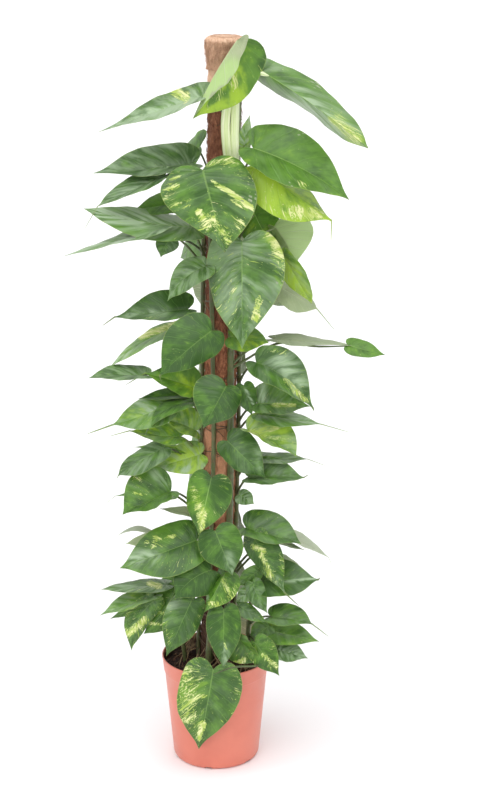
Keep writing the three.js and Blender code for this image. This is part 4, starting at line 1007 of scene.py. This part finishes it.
def make_leaf_upper():
    """The glossy upper face: green washes, a grey sheen painted in as reflection, lime and cream streaks,
    and pale veins.
    """
    leaf = BladeFinish("leaf_upper", 0.36)
    wash = leaf.minus(leaf.plus(leaf.brush, leaf.times(leaf.cloud, 0.25)), 0.62)
    level = leaf.plus(leaf.green, leaf.times(wash, 1.15))
    base = leaf.mixed(leaf.between(level, -0.12, 0.52), LEAF_DEEP, LEAF_GREEN)
    base = leaf.mixed(leaf.between(level, 0.45, 1.0), base, LEAF_LIME)
    # Painted reflection: a grey sheen laid into the colour in stripes along the side veins, by the sheen
    # tone
    ribs = leaf.between(leaf.brushed(1.6, 0.8, 9), 0.30, 0.68, 0.25, 1.5)
    painted_sheen = leaf.times(leaf.sheen, ribs)
    base = leaf.mixed(leaf.between(painted_sheen, 0.0, 1.2), base, LEAF_PAINTED_SHEEN)
    # Streaks of lime and cream run out along the side veins, gathered in some parts of the blade
    wide = leaf.brushed(2.6, 1.8, 3)
    narrow = leaf.brushed(8.5, 1.9, 4, 3, 0.65)
    flecks = leaf.brushed(11.0, 16.0, 6, 2)
    patches = leaf.between(leaf.brushed(0.45, 1.6, 5, 2), 0.34, 0.64)
    edgeward = leaf.between(leaf.half, 0.0, 0.6, 0.45, 1.0)
    strong = leaf.between(leaf.cream, 0.75, 1.15)
    share = leaf.times(leaf.larger(leaf.times(patches, edgeward), strong), leaf.cream)
    limit = leaf.minus(0.73, leaf.times(share, 0.165))
    lime_streak = leaf.between(leaf.minus(wide, limit), -0.08, 0.05)
    streak = leaf.between(leaf.minus(narrow, limit), -0.035, 0.045)
    fleck = leaf.between(leaf.minus(flecks, leaf.plus(limit, 0.03)), -0.01, 0.03)
    pale = leaf.mixed(leaf.between(wide, 0.40, 0.62), STREAK_LIME, STREAK_CREAM)
    base = leaf.over(base, lime_streak, 0.45, STREAK_EDGE)
    base = leaf.over(base, leaf.vein, 0.20, VEIN_GREEN)
    base = leaf.over(base, leaf.fine, 0.06, FINE_VEIN_GREEN)
    base = leaf.mixed(leaf.larger(streak, leaf.times(fleck, 0.8)), base, pale)
    base = leaf.over(base, leaf.midrib, leaf.between(leaf.green, 0.0, 0.5, 0.25, 0.75), MIDRIB_GREEN)
    base = leaf.over(base, leaf.between(leaf.half, 0.978, 0.994), 0.45, LEAF_EDGE)
    base = leaf.over(base, leaf.between(leaf.along, 0.975, 1.0), 0.4, DRIP_TIP)
    leaf.colour(base)
    leaf.roughness(leaf.between(leaf.grain(leaf.spot, 30, 2), 0.3, 0.7, 0.29, 0.44))
    pores = leaf.times(leaf.grain(leaf.spot, 420, 2), 0.25)
    sunk = leaf.minus(leaf.minus(pores, leaf.times(leaf.vein, 0.5)), leaf.times(leaf.fine, 0.10))
    leaf.relief(leaf.plus(sunk, leaf.times(leaf.brush, 1.2)), 0.00060, 0.8)
    return leaf.material


def make_leaf_under():
    """The matt lower face: grey-green, with raised paler veins."""
    leaf = BladeFinish("leaf_under", 0.55)
    deep = leaf.mixed(leaf.cloud, *UNDER_DEEP)
    fresh = leaf.mixed(leaf.cloud, *UNDER_FRESH)
    level = leaf.plus(leaf.green, leaf.times(leaf.brush, 0.3))
    base = leaf.mixed(leaf.between(level, 0.15, 0.65), deep, fresh)
    base = leaf.mixed(leaf.between(leaf.green, 0.55, 0.95), base, UNDER_LIME)
    # Paler grey by the sheen tone: partly the underside's own grey, partly painted sheen
    base = leaf.over(base, leaf.sheen, 0.6, UNDER_GREY_AND_SHEEN)
    base = leaf.over(base, leaf.fine, 0.22, UNDER_FINE_VEIN)
    base = leaf.over(base, leaf.vein, 0.50, UNDER_VEIN)
    base = leaf.over(base, leaf.midrib, 0.8, UNDER_MIDRIB)
    leaf.colour(base)
    leaf.relief(leaf.plus(leaf.times(leaf.vein, 0.8), leaf.times(leaf.fine, 0.25)), 0.0007, 0.8)
    return leaf.material


def make_leaf_stalk():
    """Petioles and stems: ribbed lengthwise; olive on the vines, darkened with painted shade where the first
    tone is low, and pale green on the thick top stalks.
    """
    stalk = Finish("leaf_stalk", Roughness=0.42)
    along, across, seed = stalk.carried("leaf_place")
    pale, corky, _ = stalk.carried("leaf_tone")
    ribs_at = stalk.joined(stalk.times(along, 1.5), stalk.times(across, 9), seed)
    ribs = stalk.between(stalk.grain(ribs_at, 1, 3), 0.35, 0.65)
    place = stalk.place()
    cloud = stalk.between(stalk.grain(place, 60, 3), 0.3, 0.7)
    # Painted shade: the darkest olive, mixed in where the stalk's first tone is low
    dark = stalk.mixed(cloud, *STALK_SHADED)
    base = stalk.mixed(stalk.between(pale, 0.05, 0.5), dark, stalk.mixed(ribs, *STALK_OLIVE))
    base = stalk.mixed(stalk.between(pale, 0.5, 0.95), base, stalk.mixed(ribs, *STALK_CREAM))
    worn = stalk.minus(stalk.plus(corky, stalk.times(stalk.grain(place, 130, 3), 0.5)), 0.55)
    base = stalk.over(base, stalk.between(worn, 0.0, 0.2), 0.85, stalk.mixed(cloud, *STALK_BARK))
    stalk.colour(base)
    stalk.relief(ribs, 0.0005, 0.7)
    return stalk.material


LEAF_FINISHES = [make_leaf_upper(), make_leaf_under(), make_leaf_stalk()]
UPPER, UNDER, STALK = range(3)


def unit(vector):
    return vector / np.linalg.norm(vector)


def seen(reading):
    """A place read on the upright plane, in metres, moved along the line of sight to its depth."""
    across, up, depth = (value * CM for value in reading)
    share = (depth - EYE[1]) / -EYE[1]
    return np.array([EYE[0] + share * (across + POLE_X - EYE[0]), depth, EYE[2] + share * (up - EYE[2])])


def toned(places, tone, marks):
    """A leaf's tone at some places, changed near its marks as the camera sees them."""
    rows = np.tile(np.asarray(tone, float), (len(places), 1))
    if marks:
        share = -EYE[1] / (places[:, 1] - EYE[1])
        across = (EYE[0] + (places[:, 0] - EYE[0]) * share - POLE_X) / CM
        up = (EYE[2] + (places[:, 2] - EYE[2]) * share) / CM
        for number, x0, z0, x1, z1, reach, change in marks:
            run = np.array([x1 - x0, z1 - z0])
            t = np.clip(((across - x0) * run[0] + (up - z0) * run[1]) / max(run @ run, 1e-9), 0, 1)
            away = np.hypot(across - x0 - t * run[0], up - z0 - t * run[1])
            rows[:, number] += change * np.exp(-(away / reach) ** 2)
    return rows


def beside_pole(height, turn, away):
    """A place at a height and an angle round the leaning pole, at a distance from its middle."""
    middle = POLE_X + height * math.tan(LEAN)
    return np.array([middle + away * math.cos(turn), away * math.sin(turn), height])


def smooth_line(points, steps):
    """Places at even steps of a curve through some points, rounded by how far apart they are."""
    points = np.asarray(points, float)
    points = np.vstack([2 * points[0] - points[1], points, 2 * points[-1] - points[-2]])
    line = []
    last = len(points) - 3
    for t in np.linspace(0, last, steps + 1):
        i = min(int(t), last - 1)
        share = t - i
        p0, p1, p2, p3 = points[i:i + 4]
        d0, d1, d2 = (max(np.linalg.norm(b - a), 1e-9) ** 0.5 for a, b in ((p0, p1), (p1, p2), (p2, p3)))
        m1 = ((p1 - p0) / d0 - (p2 - p0) / (d0 + d1) + (p2 - p1) / d1) * d1
        m2 = ((p2 - p1) / d1 - (p3 - p1) / (d1 + d2) + (p3 - p2) / d2) * d1
        square = (3 * (p2 - p1) - 2 * m1 - m2) * share ** 2
        cube = (2 * (p1 - p2) + m1 + m2) * share ** 3
        line.append(p1 + m1 * share + square + cube)
    return np.array(line)


def bend_line(p0, p1, p2, p3, steps):
    """Places on the curve that starts at p0 towards p1 and ends at p3, coming from p2."""
    share = np.linspace(0, 1, steps + 1)[:, None]
    rest = 1 - share
    return rest ** 3 * p0 + 3 * rest ** 2 * share * p1 + 3 * rest * share ** 2 * p2 + share ** 3 * p3


class Growth:
    """One vine's mesh as it grows: points, faces, finish of each face, and each corner's place and tone."""

    def __init__(self):
        self.points = []
        self.count = 0
        self.faces = []
        self.slots = []
        self.places = []
        self.tones = []

    def add(self, points, faces, slot, places, tone, marks=()):
        """places holds one row for each face's corners, in order; marks change the tone round lines."""
        corners = np.asarray(points)[np.concatenate([np.asarray(face) for face in faces])]
        self.tones.append(toned(corners, tone, marks))
        self.points.append(points)
        self.faces.extend([[v + self.count for v in face] for face in faces])
        self.count += len(points)
        self.slots.extend([slot] * len(faces))
        self.places.extend(places)

    def tube(self, line, radii, sides, tone, seed):
        """A round stalk along a line, flat at both ends; its places run along it and round it."""
        ahead = np.gradient(line, axis=0)
        ahead /= np.linalg.norm(ahead, axis=1, keepdims=True)
        aside = np.cross(ahead[0], [0.3, 0.5, 0.1])
        angles = (np.arange(sides) * 2 * np.pi / sides)[:, None]
        rings = []
        for place, way, radius in zip(line, ahead, radii):
            # Each ring is turned as little as possible from the one before
            aside = unit(aside - way * np.dot(aside, way))
            other = np.cross(way, aside)
            rings.append(place + radius * (np.cos(angles) * aside + np.sin(angles) * other))
        faces = []
        places = []
        last = len(line) - 1
        for i in range(last):
            low, high = i / last, (i + 1) / last
            for s in range(sides):
                t = (s + 1) % sides
                faces.append([i * sides + s, i * sides + t, (i + 1) * sides + t, (i + 1) * sides + s])
                left, right = s / sides, (s + 1) / sides
                corners = (low, left), (low, right), (high, right), (high, left)
                places.extend((*corner, seed) for corner in corners)
        faces.append(list(range(sides))[::-1])
        faces.append([last * sides + s for s in range(sides)])
        places.extend([(0, 0, seed)] * sides + [(1, 0, seed)] * sides)
        self.add(np.concatenate(rings), faces, STALK, places, tone)

    def piece(self, name):
        """The finished object, with sharp edges where faces meet at over 55 degrees, as at a blade's rim."""
        piece = make_piece(name, np.concatenate(self.points), self.faces, LEAF_FINISHES, self.slots)
        for attribute, rows in (("leaf_place", self.places), ("leaf_tone", np.concatenate(self.tones))):
            data = piece.data.attributes.new(attribute, "FLOAT_VECTOR", "CORNER").data
            data.foreach_set("vector", np.asarray(rows, np.float32).ravel())
        piece.data.set_sharp_from_angle(angle=math.radians(55))
        return piece


# Blades: a heart drawn as shares of the length and of the half width, from the base's notch to the tip.
# Each half is waved at its edge, puffed up between the side veins and grooved along the midrib.
OUTLINE = np.array([
    (0, 0), (-0.05, 0.10), (-0.095, 0.26), (-0.108, 0.45), (-0.08, 0.65), (0, 0.84), (0.10, 0.95),
    (0.22, 1.0), (0.36, 0.98), (0.48, 0.90), (0.60, 0.74), (0.71, 0.53), (0.80, 0.33), (0.87, 0.17),
    (0.93, 0.075), (0.97, 0.03), (1, 0),
])
HALF_WIDTH = 0.6
BLADE = 0.0006
RIB_ROWS = 40
SMALL_HALF = 0.0245
ACROSS = np.array([0, 0.025, 0.07, 0.16, 0.30, 0.46, 0.63, 0.80, 0.93, 1.0])
TAIL_WIDTH = 0.05
TAIL_STEPS = np.array([1.0, 1.2, 1.45, 1.7, 1.88, 2.0])
TAIL_TAPER = np.array([1.0, 0.9, 0.75, 0.55, 0.35, 0.0])
ARCH = 0.05
WAVE = 0.06
WAVE_TURNS = 9
RIPPLE = 0.014
RIPPLE_TURNS = 31
CAMBER = 0.035
VEINS = 8.6
GROOVE_WIDTH = 0.0022
GROOVE_DEPTH = 0.0005
MIDRIB_DEPTH = 0.0011

outline_step = np.hypot(*np.diff(OUTLINE * (1, HALF_WIDTH), axis=0).T)
outline_step = np.concatenate([[0], np.cumsum(outline_step)])
outline_step /= outline_step[-1]


def outline_at(rows):
    """The outline's share of the length and of the half width at even steps, rounded between its points."""
    fine = np.linspace(0, 1, 400)
    kernel = np.hanning(23)
    kernel /= kernel.sum()
    steps = np.linspace(0, 1, rows + 1)
    soft = []
    for shares in OUTLINE.T:
        line = np.interp(fine, outline_step, shares)
        padded = np.concatenate([2 * line[0] - line[11:0:-1], line, 2 * line[-1] - line[-2:-13:-1]])
        soft.append(np.interp(steps, fine, np.convolve(padded, kernel, "valid")))
    share, width = soft
    width[0] = width[-1] = 0
    share[0], share[-1] = 0, 1
    return steps, share, np.maximum(width, 0)


def blade_rows(leaf):
    """Each row of a blade's points: its step, share of the length, half width and share of the midrib."""
    steps, share, width = outline_at(RIB_ROWS // 2 if leaf["half"] < SMALL_HALF else RIB_ROWS)
    rib_share = np.maximum(0, (steps - 0.30) / 0.70) ** 1.6
    if leaf["tail"] is not None:
        # The drawn-out tip goes on past the blade as a narrow strip
        width = np.maximum(width[:-1], TAIL_WIDTH * np.minimum(1, steps[:-1] * 9))
        width = np.concatenate([width, TAIL_WIDTH * TAIL_TAPER])
        width[0] = 0
        rows = (steps, share, rib_share)
        steps, share, rib_share = (np.concatenate([row[:-1], TAIL_STEPS]) for row in rows)
    return steps, share, width, rib_share


def leaf_frame(leaf):
    """A leaf's midrib and, for each half, the way to its edge and the way that its face looks."""
    base, tip = leaf["base"], leaf["tip"]
    along = unit(tip - base)
    sight = unit(EYE - base)
    side = unit(np.cross(sight, along))
    out = unit(np.cross(along, side))
    length = np.linalg.norm(tip - base)
    middle = (base + tip) / 2 + side * 2 * CM * leaf["bow"] + out * 2 * ARCH * length
    halves = []
    for angle, sign in zip(leaf["turn"], (1, -1)):
        turn = math.radians(angle)
        edge = side * sign * math.cos(turn) + out * math.sin(turn)
        face = -side * sign * math.sin(turn) + out * math.cos(turn)
        halves.append((edge, face))
    return along, length, middle, halves


def rib_places(leaf, shares):
    """Places along a leaf's midrib, straight on before its base and on to the drawn-out tip."""
    along, length, middle, _ = leaf_frame(leaf)
    base, tip, tail = leaf["base"], leaf["tip"], leaf["tail"]
    t = np.clip(shares, 0, 1)[..., None]
    line = (1 - t) ** 2 * base + 2 * (1 - t) * t * middle + t ** 2 * tip
    line = line + along * length * np.minimum(shares, 0)[..., None]
    if tail is not None:
        line = line + (tail - tip) * np.maximum(shares - 1, 0)[..., None]
    return line


def half_blade(leaf, k, rows):
    """Grids of points on the upper and lower face of one half, row by row out from the midrib."""
    steps, share, width, rib_share = (row[:, None] for row in rows)
    halves = leaf_frame(leaf)[3]
    edge, face = halves[k]
    mean = halves[0][1] + halves[1][1]
    mean = unit(mean) / max(np.linalg.norm(mean) / 2, 0.5)
    half, phase = leaf["half"], leaf["phase"]
    spread = ACROSS[None, :]
    inner = np.clip(share, 0, 1)
    edge_share = share + leaf["full"][k] * inner * (1 - inner)
    shares = rib_share + (edge_share - rib_share) * spread ** 1.25
    reach = width * spread
    wave = WAVE * half * width * np.sin(phase + 2 * k + WAVE_TURNS * shares) * spread ** 1.4
    ripple = RIPPLE * half * width * np.sin(phase * 3 + 5 * k + RIPPLE_TURNS * shares) * spread ** 4
    pace = VEINS * steps + 0.2 + 0.45 * (1 - k) + 0.25 * np.sin(phase + 5 * steps)
    uneven = 0.0065 + 0.0045 * np.sin(2 * phase + 11 * steps + 3 * k)
    puff = (uneven * half * np.cos(2 * np.pi * pace)) * np.sin(np.pi * spread) ** 0.8
    puff = puff * np.minimum(1, 6 * width) * (steps < 1.01)
    camber = CAMBER * half * width * np.sin(np.pi * spread ** 0.8)
    lift = (wave + ripple + puff + camber)[:, :, None]
    centre = rib_places(leaf, shares) + edge * (reach * half)[:, :, None] + face * lift
    blend = np.clip(spread / 0.16, 0, 1)[:, :, None]
    way = mean * (1 - blend) + face * blend
    fade = 1 - 0.75 * np.clip(rib_share, 0, 1)
    groove = np.exp(-(spread * width * half / GROOVE_WIDTH) ** 2) * fade
    thick = (BLADE * (1 - 0.55 * spread ** 6) / 2) * np.ones_like(reach)
    upper = centre + way * (thick - GROOVE_DEPTH * groove)[:, :, None]
    lower = centre - way * (thick + MIDRIB_DEPTH * groove)[:, :, None]
    return upper, lower


def grow_blade(growth, leaf):
    """A blade's two faces, each with both halves joined along the midrib, and the rims between them."""
    rows = blade_rows(leaf)
    steps = rows[0]
    halves = [half_blade(leaf, k, rows) for k in range(2)]
    for side in range(2):
        surface = np.concatenate([half[side].reshape(-1, 3) for half in halves])
        _, first, index = np.unique(np.round(surface, 7), axis=0, return_index=True, return_inverse=True)
        index = index.reshape(2, len(steps), len(ACROSS))
        faces = []
        places = []
        for k, sign in enumerate((1, -1)):
            for i in range(len(steps) - 1):
                for j in range(len(ACROSS) - 1):
                    corners = [(i, j), (i + 1, j), (i + 1, j + 1), (i, j + 1)]
                    if (k == 1) != (side == 1):
                        corners.reverse()
                    ring = []
                    for r, c in corners:
                        v = index[k, r, c]
                        if not ring or v != ring[-1][0]:
                            ring.append((v, steps[r], sign * ACROSS[c]))
                    if len(ring) > 1 and ring[0][0] == ring[-1][0]:
                        ring.pop()
                    if len(ring) < 3 or len({v for v, _, _ in ring}) < len(ring):
                        continue
                    faces.append([v for v, _, _ in ring])
                    places.extend((s, w, leaf["seed"]) for _, s, w in ring)
        slot = UNDER if (side == 1) != leaf["shows_under"] else UPPER
        growth.add(surface[first], faces, slot, places, leaf["tone"], leaf["marks"])
    for k, (upper, lower) in enumerate(halves):
        count = len(steps)
        faces = [[i, i + 1, count + i + 1, count + i] for i in range(count - 1)]
        if k == 1:
            faces = [face[::-1] for face in faces]
        places = [(steps[i], 1.0, leaf["seed"]) for i in range(count - 1) for _ in range(4)]
        rim = np.concatenate([upper[:, -1], lower[:, -1]])
        growth.add(rim, faces, UPPER, places, leaf["tone"], leaf["marks"])


# Stalks: a petiole is sheathed and wider at its foot, arched, and thickened at the bend below the blade;
# the ones in front are stouter and thin out towards the blade. A stem has a slightly raised ring at each
# node, where short brown roots leave it to hold on to the coir. The first two radii are in millimetres.
STEM_RADIUS = 5
PETIOLE_RADIUS = 2.1
STEM_FOOT = 0.170
STEM_SIDES = 12
STEM_TONE = (0.32, 0.35, 0)
NODE_STEP = 0.055
PETIOLE_END = 0.06
PETIOLE_RINGS = 14
PETIOLE_SIDES = 8
ROOT_TONE = (0.30, 0.9, 0)
ROOT_SIDES = 5
ROOT_STEPS = 8


def height_on(line, height):
    """Where a stem passes a height, no higher than its top."""
    z = line[:, 2]
    height = min(height, z[-1])
    i = int(np.clip(np.searchsorted(z, height), 1, len(z) - 1))
    share = (height - z[i - 1]) / max(z[i] - z[i - 1], 1e-9)
    return line[i - 1] + (line[i] - line[i - 1]) * np.clip(share, 0, 1)


def grow_petiole(growth, leaf, stem):
    foot = height_on(stem, leaf["base"][2] - leaf["drop"])
    head = rib_places(leaf, np.array(PETIOLE_END))
    if leaf["via"]:
        line = smooth_line([foot, *leaf["via"], head], 3 * PETIOLE_RINGS)
    else:
        run = head - foot
        up = np.array([0, 0, np.linalg.norm(run)])
        rising = foot + run * 0.35 + 0.2 * up
        falling = foot + run * 0.75 + 0.14 * up
        line = bend_line(foot, rising, falling, head, PETIOLE_RINGS)
    share = np.linspace(0, 1, len(line))
    sheath = 0.35 * np.exp(-(share / 0.12) ** 2)
    knee = 0.22 * np.exp(-((share - 0.93) / 0.05) ** 2)
    radii = leaf["stalk"] * (1 + sheath + knee)
    radii *= np.interp(share, [0, 0.96, 1], [1, 1, 0.55])
    if leaf["stout"]:
        radii *= np.interp(share, [0, 0.4, 0.75, 1], [1.1, 1.2, 1.0, 0.3])
    growth.tube(line, radii, PETIOLE_SIDES, leaf["stalk_tone"], leaf["seed"])


def grow_stem(growth, line, radius, seed):
    length = np.concatenate([[0], np.cumsum(np.linalg.norm(np.diff(line, axis=0), axis=1))])
    knots = np.abs(((length / NODE_STEP) % 1) - 0.5) * 2
    radii = radius * (0.94 + 0.20 * np.clip((knots - 0.86) / 0.14, 0, 1))
    radii[-2:] *= (0.8, 0.45)
    growth.tube(line, radii, STEM_SIDES, STEM_TONE, seed)


def grow_roots(growth, line, seed):
    random = np.random.default_rng(seed)
    for height in np.arange(line[0, 2] + 0.06, line[-1, 2] - 0.02, NODE_STEP):
        start = height_on(line, height)
        angle = math.atan2(start[1], start[0] - beside_pole(height, 0, 0)[0])
        for _ in range(int(random.integers(1, 4))):
            side = random.choice([-1, 1])
            reach = random.uniform(0.018, 0.045)
            fall = random.uniform(-0.02, 0.03)
            root = [start]
            for share in (0.25, 0.5, 0.75, 1.0):
                turn = angle + side * share * reach / POLE_RADIUS
                away = POLE_RADIUS + 0.0012 + 0.004 * (1 - share)
                root.append(beside_pole(height - fall * share, turn, away))
            radii = np.linspace(0.0014, 0.0006, ROOT_STEPS + 1)
            growth.tube(smooth_line(root, ROOT_STEPS), radii, ROOT_SIDES, ROOT_TONE, seed)


# Whole vines, one piece each: the ones that the photograph shows, then the two behind the pole, whose
# leaves hang out and back. Leaves are numbered as they come, and the number varies waves and streaks.
PHASE_STEP = 2.4
SEED_STEP = 1.37
BACK_HALF = 0.34
BACK_DROP = 0.07


def front_leaf(row, number):
    base, tip, half, turn, drop, green, cream, sheen, more = row
    return {
        "base": seen(base), "tip": seen(tip), "tail": seen(more["tail"]) if "tail" in more else None,
        "half": half * CM, "turn": turn, "bow": more.get("bow", 0), "full": more.get("full", (0, 0)),
        "tone": (green, cream, sheen), "marks": more.get("marks", ()),
        "shows_under": more.get("under", False),
        "drop": drop * CM, "via": [seen(point) for point in more.get("via", ())],
        "stalk": more.get("stalk", PETIOLE_RADIUS) * MM, "stout": True,
        # The stalk's first tone follows its leaf's green, so its painted shade is deepest under the darkest
        # leaves
        "stalk_tone": (1.0 if "stalk" in more else 0.18 + 0.5 * green, 0, 0),
        "phase": PHASE_STEP * number, "seed": number * SEED_STEP,
    }


def back_leaf(row, number):
    height, reach, angle, length, fall, fold, green, cream = row
    turn = math.radians(angle)
    slope = math.radians(fall)
    outward = np.array([math.cos(turn), math.sin(turn), 0])
    base = outward * reach * CM + beside_pole(height * CM, 0, 0)
    tip = base + outward * length * CM * math.cos(slope) - np.array([0, 0, length * CM * math.sin(slope)])
    leaf = {
        "base": base, "tip": tip, "tail": None,
        "half": BACK_HALF * length * CM, "turn": (fold, -fold), "bow": 0, "full": (0, 0),
        "tone": (green, cream, 0), "marks": (),
        "drop": BACK_DROP, "via": [],
        "stalk": PETIOLE_RADIUS * MM, "stout": False, "stalk_tone": (0.25, 0, 0),
        "phase": PHASE_STEP * number, "seed": number * SEED_STEP,
    }
    (_, first_face), (_, second_face) = leaf_frame(leaf)[3]
    leaf["shows_under"] = bool((first_face + second_face)[2] < 0)
    return leaf


def build_vine(name, vine, leaves):
    """One vine with all its stalks, blades and roots, in one piece."""
    radius = vine.get("radius", STEM_RADIUS) * MM
    climbs = "climb" in vine
    if climbs:
        away = POLE_RADIUS + radius + 0.001
        points = [beside_pole(height * CM, math.radians(angle), away) for height, angle in vine["climb"]]
    else:
        points = [np.array(p) * CM + (POLE_X, 0, 0) for p in vine["path"]]
    foot = np.array([points[0][0], points[0][1], STEM_FOOT])
    line = smooth_line([foot, *points], 240 if climbs else 60)
    growth = Growth()
    grow_stem(growth, line, radius, leaves[0]["seed"])
    if climbs:
        grow_roots(growth, line, int(leaves[0]["phase"] * 10))
    for leaf in leaves:
        grow_petiole(growth, leaf, line)
        grow_blade(growth, leaf)
    piece = growth.piece("leafy_" + name)
    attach(piece, "root")
    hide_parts(name)


leaf_count = 0
for vines, make_leaf in ((VINES, front_leaf), (BACK_VINES, back_leaf)):
    for name, vine in vines.items():
        leaves = []
        for row in vine["leaves"]:
            leaf_count += 1
            leaves.append(make_leaf(row, leaf_count))
        build_vine(name, vine, leaves)


# A plain white floor and a far white wall round it, in an evenly bright room, with one very large soft
# lamp high on the left in front and a weaker one behind.
ROOM = 60
ROOM_HEIGHT = 18
FLOOR_DROP = 0.0005
ROOM_LIGHT = 0.58
ROOM_CORNERS = [(-ROOM, -ROOM), (ROOM, -ROOM), (ROOM, ROOM), (-ROOM, ROOM)]


def stage_mesh(name, points, faces, material):
    mesh = bpy.data.meshes.new(name)
    mesh.from_pydata(points, [], faces)
    mesh.materials.append(material)
    piece = bpy.data.objects.new(name, mesh)
    piece.location.z = -FLOOR_DROP
    bpy.context.scene.collection.objects.link(piece)
    piece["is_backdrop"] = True


floor_paint = Finish("floor_paint", Base_Color=(0.965, 0.96, 0.975, 1), Roughness=0.9)
stage_mesh("floor", [(x, y, 0) for x, y in ROOM_CORNERS], [(0, 1, 2, 3)], floor_paint.material)
wall_paint = Finish(
    "wall_paint", Base_Color=(0, 0, 0, 1), Roughness=1.0, Emission_Color=(1, 1, 1, 1), Emission_Strength=1.0
)
wall_points = [(x, y, z) for z in (0, ROOM_HEIGHT) for x, y in ROOM_CORNERS]
wall_faces = [(i, (i + 1) % 4, 4 + (i + 1) % 4, 4 + i) for i in range(4)]
stage_mesh("room_wall", wall_points, wall_faces, wall_paint.material)
world = bpy.data.worlds.new("studio")
world.use_nodes = True
world.node_tree.nodes["Background"].inputs["Color"].default_value = (1.0, 1.0, 1.0, 1)
world.node_tree.nodes["Background"].inputs["Strength"].default_value = ROOM_LIGHT
bpy.context.scene.world = world
for name, power, spread, rise, turn in (("key", 2.2, 75, 62, -20), ("rim", 0.45, 60, 40, 150)):
    lamp_data = bpy.data.lights.new(name + "_light", "SUN")
    lamp_data.energy = power
    lamp_data.angle = math.radians(spread)
    lamp = bpy.data.objects.new(name + "_light", lamp_data)
    lamp.rotation_euler = (math.radians(90 - rise), 0, math.radians(turn))
    bpy.context.scene.collection.objects.link(lamp)

low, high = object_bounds()
